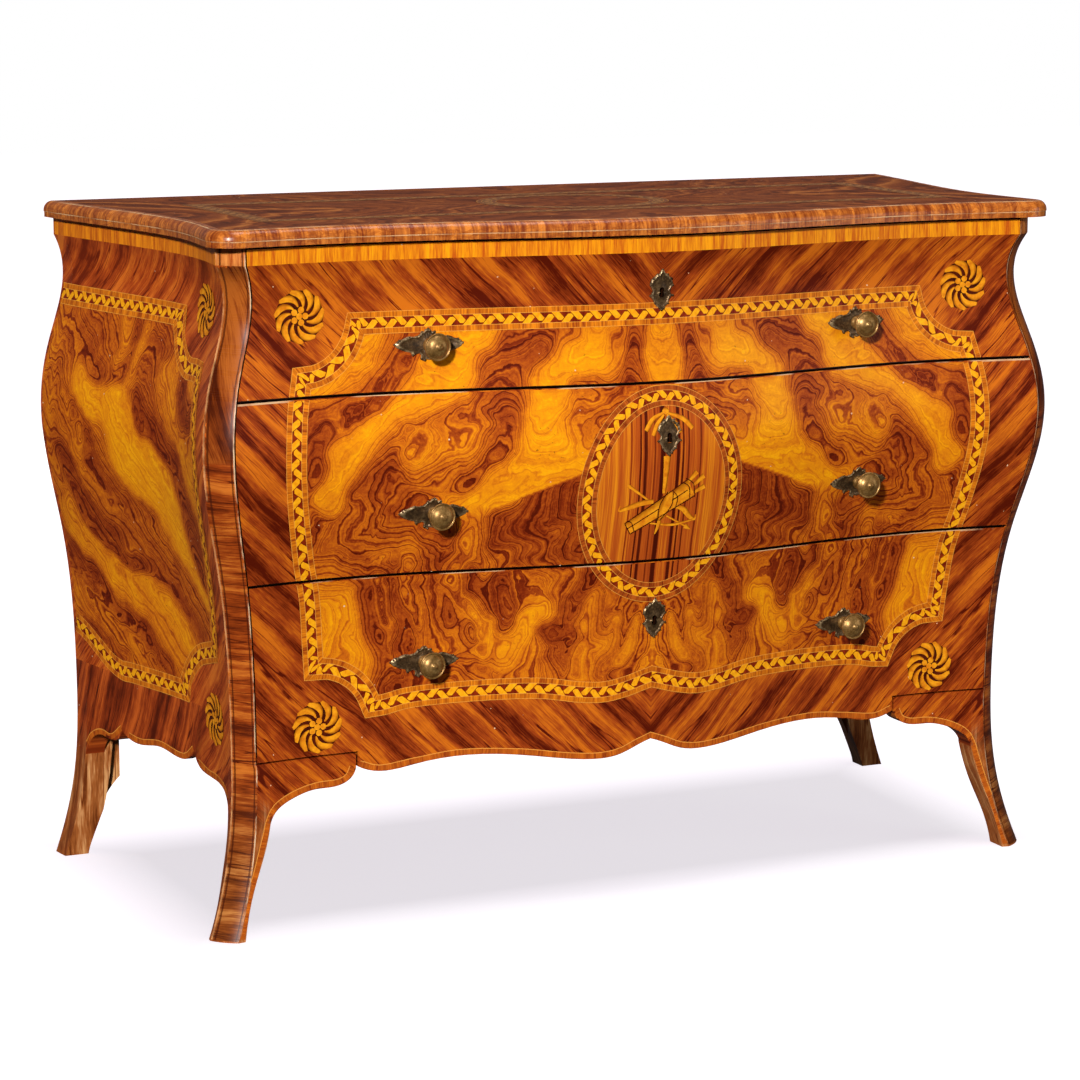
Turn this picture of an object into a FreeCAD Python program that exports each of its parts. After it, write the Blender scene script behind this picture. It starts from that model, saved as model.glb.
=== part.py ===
# A bombe chest of drawers: the case is narrow at the neck, swells at the shoulders, draws in to a waist
# and stands on four short curved legs. Three serpentine drawer fronts carry knobs, plates and locks.
# Lengths are in millimetres, X runs to the right, Y to the back and Z up from the floor.
import math
import os

import FreeCAD
import Part

V = FreeCAD.Vector
doc = FreeCAD.newDocument("bombe_chest")

# The driving dimensions.
SIZES = {
    # heights, from the floor up
    "knee_top": 220.5,
    "drawer_gap": 2.4,
    "lower_front_height": 226.4,
    "middle_front_height": 229.6,
    "upper_front_height": 183.6,
    "top_gap": 3.5,
    "top_fillet_height": 7.2,
    "top_ovolo_height": 14,
    # levels of the swelling profile
    "ankle_level": 100,
    "waist_level": 245,
    "flank_level": 448,
    "bulge_drop": 227,
    "shoulder_drop": 147,
    "neck_drop": 57.5,
    "frieze_height": 23.5,
    # how far the front stands out from, or behind, the frieze at each level
    "front_foot_in": 20.5,
    "front_ankle_in": 31.5,
    "front_waist_in": 35,
    "front_flank_in": 16,
    "front_bulge_out": 12.5,
    "front_shoulder_in": 1,
    "front_neck_in": 13,
    # the same for the sides
    "side_foot_out": 18,
    "side_ankle_in": 9,
    "side_waist_in": 17,
    "side_flank_in": 2,
    "side_bulge_out": 23.5,
    "side_shoulder_out": 12,
    "side_neck_in": 11,
    # plan of the case at the frieze
    "front_reach": 278.3,
    "back_reach": 293.7,
    "serpentine_swing": 24,
    "serpentine_return": 165,
    "case_half_width": 575,
    "side_hollow": 10,
    "side_middle_out": 5,
    "side_rear_flare": 52,
    "corner_setback": 59.3,
    "stile_width": 31,
    "drawer_side_gap": 1.5,
    "cant_angle": 41,
    "cant_width": 36,
    "cant_swell": 2.5,
    # legs, knees and case boards
    "post_depth": 113.3,
    "rear_post_depth": 30,
    "rear_post_width": 71,
    "rear_leg_width": 37,
    "leg_top_width": 65,
    "knee_length": 118.5,
    "knee_drop": 78.5,
    "knee_thickness": 30,
    "knee_gap": 3,
    "panel_front_thickness": 39,
    "panel_rear_thickness": 45,
    "back_board": 12,
    "back_board_inset": 37,
    "back_drop": 15.5,
    "bottom_board": 16,
    "rail_thickness": 18,
    "rail_depth": 158.3,
    "top_rail": 24,
    "guide_height": 16,
    "top_overhang": 14.5,
    "top_side_overhang": 15,
    "top_rear_overhang": 13,
    "top_fillet_set_back": 0.8,
    "top_corner_radius": 34,
    "top_edge_radius": 12,
    "moulding_width": 18,
    # drawers
    "front_thickness": 24,
    "front_clearance": 1.5,
    "drawer_box_inset": 32,
    "drawer_side": 12,
    "drawer_back": 12,
    "drawer_bottom": 8,
    "drawer_bottom_rise": 6,
    "drawer_headroom": 10,
    "drawer_back_gap": 14,
    "guide_clearance": 1,
    # knobs and plates
    "knob_spread": 303,
    "knob_radius": 16.5,
    "knob_dome_radius": 22,
    "knob_rim": 2.2,
    "knob_flare": 7,
    "knob_neck_radius": 5.2,
    "knob_neck": 12,
    "knob_collar_radius": 8.5,
    "knob_collar": 5,
    "knob_foot": 4,
    "plate_thickness": 2.6,
    "plate_half_width": 45,
    "plate_half_height": 21,
    "rod_radius": 2.8,
    "rod_clearance": 0.2,
    "nut_width": 14,
    "nut_thickness": 5,
    "upper_knob_rise": 56,
    "middle_knob_rise": 77.5,
    "lower_knob_rise": 111,
    # locks and keyholes
    "upper_key_drop": 68.6,
    "middle_key_drop": 64.6,
    "lower_key_drop": 75.4,
    "key_radius": 2.7,
    "key_slot_width": 3.4,
    "key_slot_drop": 9,
    "escutcheon_half_width": 17,
    "escutcheon_half_height": 27,
    "lock_half_width": 25,
    "lock_below_key": 22,
    "lock_top_gap": 4,
    "lock_wall": 3,
    "bolt_half_width": 9,
    "bolt_thickness": 7,
    "bolt_length": 30,
    "bolt_clearance": 0.3,
    "bolt_travel": 9,
}
sheet = doc.addObject("Spreadsheet::Sheet", "sizes")
for row, (alias, number) in enumerate(SIZES.items(), 1):
    sheet.set("A%d" % row, alias)
    sheet.set("B%d" % row, str(number))
    sheet.setAlias("B%d" % row, alias)
doc.recompute()


def size(alias):
    return float(sheet.get(alias))


# Levels that follow from the driving dimensions.
gap = size("drawer_gap")
lower_z = size("knee_top") + gap
lower_top = lower_z + size("lower_front_height")
middle_z = lower_top + gap
middle_top = middle_z + size("middle_front_height")
upper_z = middle_top + gap
upper_top = upper_z + size("upper_front_height")
case_top = upper_top + size("top_gap")
frieze_z = case_top - size("frieze_height")
case_half = size("case_half_width")
rear_half = case_half + size("side_rear_flare")
drawer_half = case_half - size("stile_width")
outside = rear_half + 100
back_y = size("back_reach")
corner_y = size("corner_setback") - size("front_reach")
back_bottom = size("knee_top") - size("back_drop")
post_y = size("post_depth") - size("front_reach")
rear_post_y = back_y - size("rear_post_depth")
back_board_y = back_y - size("back_board")
rail_y = size("rail_depth") - size("front_reach")
below_floor = -25
beyond = 400


def add_shape(name, shape):
    feature = doc.addObject("Part::Feature", name)
    feature.Shape = shape
    return feature


def add_box(name, low, high, **bound):
    box = doc.addObject("Part::Box", name)
    box.Length = high[0] - low[0]
    box.Width = high[1] - low[1]
    box.Height = high[2] - low[2]
    box.Placement.Base = V(*low)
    for side, alias in bound.items():
        box.setExpression(side, "sizes." + alias)
    return box


def add_cut(name, base, tool):
    cut = doc.addObject("Part::Cut", name)
    cut.Base = base
    cut.Tool = tool
    return cut


def add_common(name, *pieces):
    common = doc.addObject("Part::MultiCommon", name)
    common.Shapes = list(pieces)
    return common


def add_fuse(name, *pieces):
    fuse = doc.addObject("Part::MultiFuse", name)
    fuse.Shapes = list(pieces)
    return fuse


def trimmed(name, base, *tools):
    for number, tool in enumerate(tools[:-1]):
        base = add_cut("%s_trim_%d" % (name, number), base, tool)
    return add_cut(name, base, tools[-1])


def add_mirror(name, source):
    mirror = doc.addObject("Part::Mirroring", name)
    mirror.Source = source
    mirror.Normal = V(1, 0, 0)
    return mirror


# Curves and the swelling surfaces swept from them.
def interpolated(points, parameters):
    curve = Part.BSplineCurve()
    curve.interpolate(Points=points, Parameters=parameters)
    return curve


def smooth_edge(points):
    curve = Part.BSplineCurve()
    curve.interpolate(Points=points)
    return curve.toShape()


def straight(start, end):
    return Part.LineSegment(start, end)


def swept_face(plan, rise):
    poles = [[along + up for up in rise.getPoles()] for along in plan.getPoles()]
    surface = Part.BSplineSurface()
    surface.buildFromPolesMultsKnots(
        poles,
        plan.getMultiplicities(),
        rise.getMultiplicities(),
        plan.getKnots(),
        rise.getKnots(),
        False,
        False,
        plan.Degree,
        rise.Degree,
    )
    return surface.toShape()


def layer(faces, start, depth):
    solids = []
    for face in faces:
        moved = face.copy()
        moved.translate(start)
        solids.append(moved.extrude(depth))
    return solids[0].fuse(solids[1]).removeSplitter()


ankle = size("ankle_level")
levels = [
    below_floor,
    0,
    ankle,
    size("waist_level"),
    size("flank_level"),
    frieze_z - size("bulge_drop"),
    frieze_z - size("shoulder_drop"),
    frieze_z - size("neck_drop"),
    frieze_z,
]
front_out = [
    -size("front_foot_in"),
    -size("front_ankle_in"),
    -size("front_waist_in"),
    -size("front_flank_in"),
    size("front_bulge_out"),
    -size("front_shoulder_in"),
    -size("front_neck_in"),
    0,
]
side_out = [
    size("side_foot_out"),
    -size("side_ankle_in"),
    -size("side_waist_in"),
    -size("side_flank_in"),
    size("side_bulge_out"),
    size("side_shoulder_out"),
    -size("side_neck_in"),
    0,
]
# The flare of the foot carries on a little below the floor, where the legs are sawn off flat.
for outs in (front_out, side_out):
    outs.insert(0, outs[0] + (outs[0] - outs[1]) * 1.4 * -below_floor / ankle)
front_rise = interpolated([V(0, -out, z) for out, z in zip(front_out, levels)], levels)
side_rise = interpolated([V(out, 0, z) for out, z in zip(side_out, levels)], levels)
frieze_rise = straight(V(0, 0, frieze_z), V(0, 0, case_top + 20)).toBSpline()

swing = size("serpentine_swing")
half_wave = case_half - size("serpentine_return")
front_x = [half_wave * step / 4 for step in range(-7, 8)]
front_plan = interpolated(
    [V(x, swing * (1 - math.cos(math.pi * x / half_wave)) - size("front_reach"), 0) for x in front_x],
    front_x,
)
side_run = back_y - corner_y
middle_half = case_half + size("side_middle_out")
side_keys = [
    (corner_y - 101, case_half + 8),
    (corner_y, case_half),
    (corner_y + 0.222 * side_run, case_half - size("side_hollow")),
    (corner_y + 0.515 * side_run, middle_half),
    (corner_y + 0.807 * side_run, middle_half + 0.628 * (rear_half - middle_half)),
    (back_y + 2.3, rear_half),
    (back_y + 46.3, rear_half + 4),
]
side_plan = interpolated([V(half, y, 0) for y, half in side_keys], [y for y, half in side_keys])

front_faces = [swept_face(front_plan, rise) for rise in (front_rise, frieze_rise)]
side_faces = [swept_face(side_plan, rise) for rise in (side_rise, frieze_rise)]


def front_y(x, z):
    rise = front_rise.value(z).y if z < frieze_z else 0
    return front_plan.value(x).y + rise


def drawer_end(z):
    rise = side_rise.value(z).x if z < frieze_z else 0
    return drawer_half + rise


def front_layer(near, far):
    return layer(front_faces, V(0, near, 0), V(0, far - near, 0))


def side_layer(outer, inner):
    return layer(side_faces, V(-outer, 0, 0), V(outer - inner, 0, 0))


# The canted corner runs up the ends of the drawers and swells a little across its width.
cant = math.radians(size("cant_angle"))
cant_way = V(math.cos(cant), math.sin(cant), 0)
corner_z = [z for z in range(below_floor, int(frieze_z), 60)] + [frieze_z]
corner_rise = interpolated([V(drawer_end(z), front_y(drawer_end(z), z), z) for z in corner_z], corner_z)
corner_top = V(drawer_end(case_top), front_y(drawer_end(case_top), case_top), 0)
corner_frieze = straight(corner_top + V(0, 0, frieze_z), corner_top + V(0, 0, case_top + 20)).toBSpline()
cant_out = V(math.sin(cant), -math.cos(cant), 0)
cant_half = size("cant_width") / 2
cant_steps = [step / 4 for step in range(-6, 13)]


def cant_point(step):
    round_part = min(step, 1.5)
    fall = 1 - round_part * (2 * step - round_part)
    return cant_way * cant_half * (1 + step) + cant_out * size("cant_swell") * fall


cant_line = interpolated([cant_point(step) for step in cant_steps], cant_steps)
cant_faces = [swept_face(cant_line, rise) for rise in (corner_rise, corner_frieze)]
cant_waste = layer(cant_faces, V(0, 0, 0), cant_out * 90)


def prism(edges, depth):
    return Part.Face(Part.Wire(Part.__sortEdges__(edges))).extrude(depth)


def chain(points):
    return [straight(start, end).toShape() for start, end in zip(points, points[1:])]


# The right half of the case as one block: the posts, panels and legs are sawn out of it.
half_block = front_layer(0, back_y + size("front_reach") + 60)
half_block = half_block.common(side_layer(0, 450))
half_block = half_block.cut(cant_waste)
half_block = half_block.common(
    Part.makeBox(outside - 150, back_y + beyond, case_top, V(150, -beyond, 0))
)


def drawer_end_edges(beside, low, high):
    curve = side_rise.copy()
    curve.segment(low, min(high, frieze_z))
    curve.translate(V(drawer_half + beside, 0, 0))
    edges = [curve.toShape()]
    if high > frieze_z:
        x = drawer_half + beside
        edges.append(straight(V(x, 0, frieze_z), V(x, 0, high)).toShape())
    return edges


# Front posts, each in one piece with its leg.
knee_top = size("knee_top")
split = case_half - size("leg_top_width")
knee_drop = size("knee_drop")
leg_root = knee_top - knee_drop
leg_height = knee_top - 57.5
beside = size("drawer_side_gap")
post_top = case_top + 10
foot_inner = drawer_half + 8
leg_inner = [
    V(foot_inner + 4, 0, below_floor),
    V(foot_inner, 0, 0),
    V(foot_inner - 14, 0, 0.394 * leg_root),
    V(foot_inner - 32, 0, 0.732 * leg_root),
    V(split, 0, leg_root),
]
shoulder_x = drawer_half + beside + side_rise.value(knee_top).x
post_edges = [smooth_edge(leg_inner)]
post_edges += chain([V(split, 0, leg_root), V(split, 0, knee_top), V(shoulder_x, 0, knee_top)])
post_edges += drawer_end_edges(beside, knee_top, post_top)
post_edges += chain(
    [
        V(drawer_half + beside, 0, post_top),
        V(outside, 0, post_top),
        V(outside, 0, below_floor),
        leg_inner[0],
    ]
)
post_front = prism(post_edges, V(0, beyond, 0))
post_front.translate(V(0, -beyond, 0))
leg_rear = [
    V(0, post_y, leg_height),
    V(0, post_y - 6, 0.847 * leg_height),
    V(0, post_y - 8.5, 0.656 * leg_height),
    V(0, post_y - 11, 0.479 * leg_height),
    V(0, post_y - 19, 0.294 * leg_height),
    V(0, post_y - 25, 0.11 * leg_height),
    V(0, post_y - 26, 0),
    V(0, post_y - 25, below_floor),
]
post_side = prism(
    [smooth_edge(leg_rear)]
    + chain(
        [
            leg_rear[-1],
            V(0, -beyond, below_floor),
            V(0, -beyond, post_top),
            V(0, post_y, post_top),
            leg_rear[0],
        ]
    ),
    V(outside, 0, 0),
)
front_right_post = add_shape("front_right_post", half_block.common(post_front).common(post_side))
front_left_post = add_mirror("front_left_post", front_right_post)

# Knee brackets between the legs and the apron of the lower drawer.
knee_length = size("knee_length")
knee_inner = split - knee_length
knee_curve = [
    V(split, 0, leg_root),
    V(split - 0.084 * knee_length, 0, knee_top - 0.783 * knee_drop),
    V(split - 0.27 * knee_length, 0, knee_top - 0.624 * knee_drop),
    V(split - 0.532 * knee_length, 0, knee_top - 0.522 * knee_drop),
    V(split - 0.793 * knee_length, 0, knee_top - 0.503 * knee_drop),
    V(split - 0.928 * knee_length, 0, knee_top - 0.414 * knee_drop),
    V(knee_inner, 0, knee_top - 0.236 * knee_drop),
]
knee_face = prism(
    [smooth_edge(knee_curve)]
    + chain([knee_curve[-1], V(knee_inner, 0, knee_top), V(split, 0, knee_top), knee_curve[0]]),
    V(0, beyond, 0),
)
knee_face.translate(V(0, -beyond, 0))
front_right_knee_bracket = add_shape(
    "front_right_knee_bracket", front_layer(0, size("knee_thickness")).common(knee_face)
)
front_left_knee_bracket = add_mirror("front_left_knee_bracket", front_right_knee_bracket)

# Side panels: swelling outside, flat inside, with a scalloped lower edge.
cusp_rear_y = rear_post_y - 99.7
cusp_front_y = post_y + 133
cusp_gap = cusp_rear_y - cusp_front_y
cusp_rear = V(0, cusp_rear_y, knee_top - 29)
cusp_front = V(0, cusp_front_y, knee_top - 17.5)
panel_rear_edge = [
    V(0, rear_post_y, knee_top - 80.5),
    V(0, rear_post_y - 6.7, knee_top - 67.5),
    V(0, rear_post_y - 17.7, knee_top - 54.5),
    V(0, rear_post_y - 41.7, knee_top - 45.5),
    V(0, rear_post_y - 71.7, knee_top - 46.5),
    cusp_rear,
]
panel_middle_edge = [
    cusp_rear,
    V(0, cusp_rear_y - 0.09 * cusp_gap, knee_top - 36),
    V(0, cusp_rear_y - 0.26 * cusp_gap, knee_top - 38),
    V(0, cusp_rear_y - 0.505 * cusp_gap, knee_top - 31),
    V(0, cusp_rear_y - 0.76 * cusp_gap, knee_top - 34.9),
    V(0, cusp_rear_y - 0.888 * cusp_gap, knee_top - 32),
    cusp_front,
]
panel_front_edge = [
    cusp_front,
    V(0, cusp_front_y - 13, knee_top - 32.5),
    V(0, post_y + 87, knee_top - 38.9),
    V(0, post_y + 52, knee_top - 39),
    V(0, post_y + 19, knee_top - 43.5),
    V(0, post_y, leg_height),
]
panel_side = prism(
    [smooth_edge(edge) for edge in (panel_rear_edge, panel_middle_edge, panel_front_edge)]
    + chain(
        [
            panel_front_edge[-1],
            V(0, post_y, post_top),
            V(0, rear_post_y, post_top),
            panel_rear_edge[0],
        ]
    ),
    V(outside, 0, 0),
)
panel_inner_front = case_half - size("side_hollow") - size("panel_front_thickness")
panel_inner_rear = rear_half - size("panel_rear_thickness")
lean = (panel_inner_rear - panel_inner_front) / (rear_post_y - post_y)


def panel_inner(y):
    return panel_inner_front + lean * (y - post_y)


room = prism(
    chain(
        [
            V(-panel_inner(-beyond), -beyond, -1),
            V(panel_inner(-beyond), -beyond, -1),
            V(panel_inner(beyond), beyond, -1),
            V(-panel_inner(beyond), beyond, -1),
            V(-panel_inner(-beyond), -beyond, -1),
        ]
    ),
    V(0, 0, case_top + 20),
)
case_room = add_shape("case_room", room)
right_side_panel = add_shape("right_side_panel", half_block.common(panel_side).cut(room))
left_side_panel = add_mirror("left_side_panel", right_side_panel)

# Rear posts, rebated for the back boards; below the case they narrow to a leg with a thin bracket.
rear_inner = rear_half - size("rear_post_width")
rear_foot = rear_half + size("side_foot_out") - size("rear_leg_width")
rear_curve = [
    V(rear_foot, 0, below_floor),
    V(rear_foot - 3, 0, 10),
    V(rear_foot - 12, 0, 33),
    V(rear_foot - 26, 0, 66),
    V(rear_inner, 0, 101),
]
rear_post_face = prism(
    [smooth_edge(rear_curve)]
    + chain(
        [
            rear_curve[-1],
            V(rear_inner, 0, post_top),
            V(outside, 0, post_top),
            V(outside, 0, below_floor),
            rear_curve[0],
        ]
    ),
    V(0, beyond, 0),
)
rear_post_face.translate(V(0, rear_post_y, 0))
leg_notch = side_layer(size("rear_leg_width"), 300).common(
    Part.makeBox(outside, size("rear_post_depth") / 2, knee_top - 30.5, V(0, rear_post_y, 0))
)
back_half = rear_half - size("back_board_inset")
rebate = Part.makeBox(back_half, back_y, case_top, V(0, back_board_y, back_bottom))
rear_right_post = add_shape(
    "rear_right_post", half_block.common(rear_post_face).cut(leg_notch).cut(rebate)
)
rear_left_post = add_mirror("rear_left_post", rear_right_post)

# Back boards, laid flat in the rebates and nailed to the posts.
back_middle = (back_bottom + case_top) / 2
back_board_lower = add_box(
    "back_board_lower",
    (-back_half, back_board_y, back_bottom),
    (back_half, back_y, back_middle),
    Width="back_board",
)
back_board_upper = add_box(
    "back_board_upper",
    (-back_half, back_board_y, back_middle),
    (back_half, back_y, case_top),
    Width="back_board",
)

# Space swept by the drawer fronts, kept clear by every rail.
front_space = add_shape(
    "front_space", front_layer(-300, size("front_thickness") + size("front_clearance"))
)

# Bottom board on the knee brackets.
bottom_blank = add_box(
    "bottom_blank",
    (-outside, -beyond, knee_top),
    (outside, back_board_y, knee_top + size("bottom_board")),
    Height="bottom_board",
)
bottom_fitted = add_common("bottom_fitted", bottom_blank, case_room)
bottom_board = trimmed(
    "bottom_board", bottom_fitted, front_space, rear_right_post, rear_left_post
)

# Locks: sizes shared by the drawer, its lock and the rail above it.
rail_half = size("rail_thickness") / 2
middle_rail_z = (middle_top + upper_z) / 2 - rail_half
lower_rail_z = (lower_top + middle_z) / 2 - rail_half
top_rail_z = case_top - size("top_rail")
board_top = knee_top + size("bottom_board")
DRAWERS = {
    "lower": dict(front=(lower_z, lower_top), floor=board_top, rail=lower_rail_z),
    "middle": dict(
        front=(middle_z, middle_top), floor=lower_rail_z + 2 * rail_half, rail=middle_rail_z
    ),
    "upper": dict(
        front=(upper_z, upper_top), floor=middle_rail_z + 2 * rail_half, rail=top_rail_z
    ),
}
thickness = size("front_thickness")
for name, drawer in DRAWERS.items():
    bottom, top = drawer["front"]
    drawer["knob_z"] = bottom + size(name + "_knob_rise")
    drawer["key_z"] = top - size(name + "_key_drop")
    drawer["lock_top"] = drawer["rail"] - size("lock_top_gap")
    drawer["lock_bottom"] = drawer["key_z"] - size("lock_below_key")
    lock_z = [drawer["lock_bottom"], drawer["key_z"], drawer["lock_top"]]
    drawer["lock_front"] = min(front_y(0, z) for z in lock_z) + thickness
    rail_nose = max(front_y(0, drawer["rail"] + z) for z in (0, rail_half, 2 * rail_half))
    drawer["bolt_y"] = rail_nose + thickness + size("front_clearance") + 3 + size("bolt_thickness") / 2
    drawer["lock_back"] = drawer["bolt_y"] + size("bolt_thickness") / 2 + size("lock_wall")


# Rails between the drawers, with a mortise over each lock for its bolt.
def add_rail(name, z, height, drawer):
    end = drawer_end(z + size(height) / 2) + 12
    blank = add_box(name + "_blank", (-end, -beyond, z), (end, rail_y, z + size(height)), Height=height)
    reach = size("bolt_half_width") + 2
    half = size("bolt_thickness") / 2 + 2
    mortise = add_box(
        name + "_mortise",
        (-reach, drawer["bolt_y"] - half, z - 1),
        (reach, drawer["bolt_y"] + half, z + size("bolt_travel")),
    )
    neighbours = [front_right_post, front_left_post, right_side_panel, left_side_panel]
    return trimmed(name, blank, front_space, mortise, *neighbours)


top_front_rail = add_rail("top_front_rail", top_rail_z, "top_rail", DRAWERS["upper"])
divider_rail_upper = add_rail(
    "divider_rail_upper", middle_rail_z, "rail_thickness", DRAWERS["middle"]
)
divider_rail_lower = add_rail(
    "divider_rail_lower", lower_rail_z, "rail_thickness", DRAWERS["lower"]
)

# Runners under the upper drawers, each with a guide along its outer edge, and guides on the bottom board.
box_half = drawer_half - size("drawer_box_inset")
guide_x = box_half + size("guide_clearance")
runner_x = box_half - 2 * size("drawer_side")


def add_guide(name, z):
    return add_box(
        name,
        (guide_x, rail_y, z),
        (outside, rear_post_y, z + size("guide_height")),
        Height="guide_height",
    )


runners = []
for name, z in (("middle_runner", lower_rail_z), ("upper_runner", middle_rail_z)):
    tread = add_box(
        name + "_tread",
        (runner_x, rail_y, z),
        (outside, rear_post_y, z + 2 * rail_half),
        Height="rail_thickness",
    )
    blank = add_fuse(name + "_blank", tread, add_guide(name + "_guide", z + 2 * rail_half))
    right = add_common(name + "_right", blank, case_room)
    runners += [right, add_mirror(name + "_left", right)]
lower_guide_right = add_common(
    "lower_guide_right", add_guide("lower_guide_blank", board_top), case_room
)
lower_guide_left = add_mirror("lower_guide_left", lower_guide_right)


# Top: a board edged at the front and sides with a cross-grained moulding. Its overhang shrinks to the rear.
side_out_top = size("top_side_overhang")
rear_out_top = size("top_rear_overhang")
top_outs = [side_out_top] * 4 + [(side_out_top + rear_out_top) / 2, rear_out_top, rear_out_top]
top_side_plan = interpolated(
    [V(half + out, y, 0) for (y, half), out in zip(side_keys, top_outs)], [y for y, half in side_keys]
)


def top_outline(inset, radius, low, high):
    out = size("top_overhang") - inset
    front_curve = front_plan.copy()
    front_curve.translate(V(0, -out, low))
    start, end = front_curve.value(front_x[0]), front_curve.value(front_x[-1])
    front = prism(
        [front_curve.toShape()]
        + chain([end, V(end.x, beyond, low), V(start.x, beyond, low), start]),
        V(0, 0, high - low),
    )
    side_curve = top_side_plan.copy()
    side_start = side_keys[0][0]
    side_curve.segment(side_start, back_y)
    side_curve.translate(V(-inset, 0, low))
    start, end = side_curve.value(side_start), side_curve.value(back_y)
    half = prism(
        [side_curve.toShape()]
        + chain([end, V(0, back_y, low), V(0, start.y, low), start]),
        V(0, 0, high - low),
    )
    whole = half.fuse(half.mirror(V(0, 0, 0), V(1, 0, 0))).removeSplitter().common(front)
    corners = [
        edge
        for edge in whole.Edges
        if abs(edge.tangentAt(edge.FirstParameter).z) > 0.99 and edge.CenterOfMass.y < 0
    ]
    return whole.makeFillet(radius, corners)


fillet_top = case_top + size("top_fillet_height")
chest_top = fillet_top + size("top_ovolo_height")
corner_radius = size("top_corner_radius")
set_back = size("top_fillet_set_back")
edging = size("moulding_width")
ovolo = top_outline(0, corner_radius, fillet_top, chest_top)
ovolo_edges = [
    edge
    for edge in ovolo.Edges
    if abs(edge.BoundBox.ZMin - chest_top) < 0.01 and edge.BoundBox.YMin < back_y - 1
]
edge_radius = min(size("top_edge_radius"), 0.95 * size("top_ovolo_height"))
ovolo = ovolo.makeFillet(edge_radius, ovolo_edges)
fillet = top_outline(set_back, corner_radius - set_back, case_top, fillet_top)
inner_top = top_outline(edging, corner_radius - edging, case_top, chest_top)
top_board = add_shape("top_board", inner_top)
top_moulding = add_shape("top_moulding", ovolo.fuse(fillet).removeSplitter().cut(inner_top))


# Plates: a lobed cartouche behind each knob and an upright one round each keyhole.
def cartouche(points, half_width, half_height, x, z):
    outline = [V(x + half_width * u, 0, z + half_height * v) for u, v in points]
    outline += [V(x - half_width * u, 0, z + half_height * v) for u, v in reversed(points[1:-1])]
    curve = Part.BSplineCurve()
    curve.interpolate(Points=outline, PeriodicFlag=True)
    face = Part.Face(Part.Wire(curve.toShape()))
    solid = face.extrude(V(0, beyond, 0))
    solid.translate(V(0, -beyond, 0))
    return solid


PLATE_OUTLINE = [
    (0.00, 1.00),
    (0.18, 0.86),
    (0.27, 0.55),
    (0.44, 0.62),
    (0.58, 0.38),
    (0.76, 0.46),
    (0.95, 0.26),
    (1.00, -0.02),
    (0.88, -0.20),
    (0.70, -0.16),
    (0.56, -0.52),
    (0.40, -0.98),
    (0.26, -0.78),
    (0.16, -0.62),
    (0.00, -0.80),
]
ESCUTCHEON_OUTLINE = [
    (0.00, 1.00),
    (0.28, 0.86),
    (0.34, 0.62),
    (0.86, 0.66),
    (0.98, 0.40),
    (0.66, 0.22),
    (0.62, -0.02),
    (0.96, -0.24),
    (0.84, -0.52),
    (0.40, -0.60),
    (0.26, -0.84),
    (0.00, -1.00),
]


def along_y(radius, x, z, near, far):
    return Part.makeCylinder(radius, far - near, V(x, near, z), V(0, 1, 0))


def keyhole(z, far):
    eye = along_y(size("key_radius"), 0, z, -beyond, far)
    slot = Part.makeBox(
        size("key_slot_width"),
        far + beyond,
        size("key_slot_drop"),
        V(-size("key_slot_width") / 2, -beyond, z - size("key_slot_drop")),
    )
    return eye.fuse(slot)


plate_layer = front_layer(-size("plate_thickness"), 0)
knob_space = add_shape("knob_space", front_layer(-size("plate_thickness"), 60))
box_space = add_shape("box_space", front_layer(-300, thickness))
slab = front_layer(0, thickness)
hole_radius = size("rod_radius") + size("rod_clearance")


# The lower edge of the bottom drawer: a scalloped apron with a cusp in the middle.
def apron_edges():
    corner = knee_inner - size("knee_gap")
    half = [
        V(corner, 0, lower_z - 19.9),
        V(0.923 * corner, 0, lower_z - 28.4),
        V(0.795 * corner, 0, lower_z - 21.9),
        V(0.646 * corner, 0, lower_z - 15.5),
        V(0.456 * corner, 0, lower_z - 19.4),
        V(0.309 * corner, 0, lower_z - 27.7),
        V(0.196 * corner, 0, lower_z - 31.6),
        V(0.113 * corner, 0, lower_z - 27.9),
        V(0.049 * corner, 0, lower_z - 17.9),
        V(0, 0, lower_z - 10.9),
    ]
    other = [V(-point.x, 0, point.z) for point in half]
    sides = [chain([V(corner, 0, lower_z), half[0]]), chain([V(-corner, 0, lower_z), other[0]])]
    ends = chain([V(drawer_end(lower_z), 0, lower_z), V(corner, 0, lower_z)])
    ends += chain([V(-drawer_end(lower_z), 0, lower_z), V(-corner, 0, lower_z)])
    return [smooth_edge(half), smooth_edge(other)] + sides[0] + sides[1] + ends


def front_outline(bottom, top, lower_edges):
    right = drawer_end_edges(0, bottom, top)
    left = [edge.mirror(V(0, 0, 0), V(1, 0, 0)) for edge in right]
    upper = chain([V(-drawer_end(top), 0, top), V(drawer_end(top), 0, top)])
    outline = prism(right + left + upper + lower_edges, V(0, beyond, 0))
    outline.translate(V(0, -beyond, 0))
    return outline


def rod_seat(x, z):
    half = size("nut_width") / 2
    corners = [front_y(x + u, z + v) for u in (-half, half) for v in (-half, half)]
    return min(corners + [front_y(x, z)]) + thickness - 0.5


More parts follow.
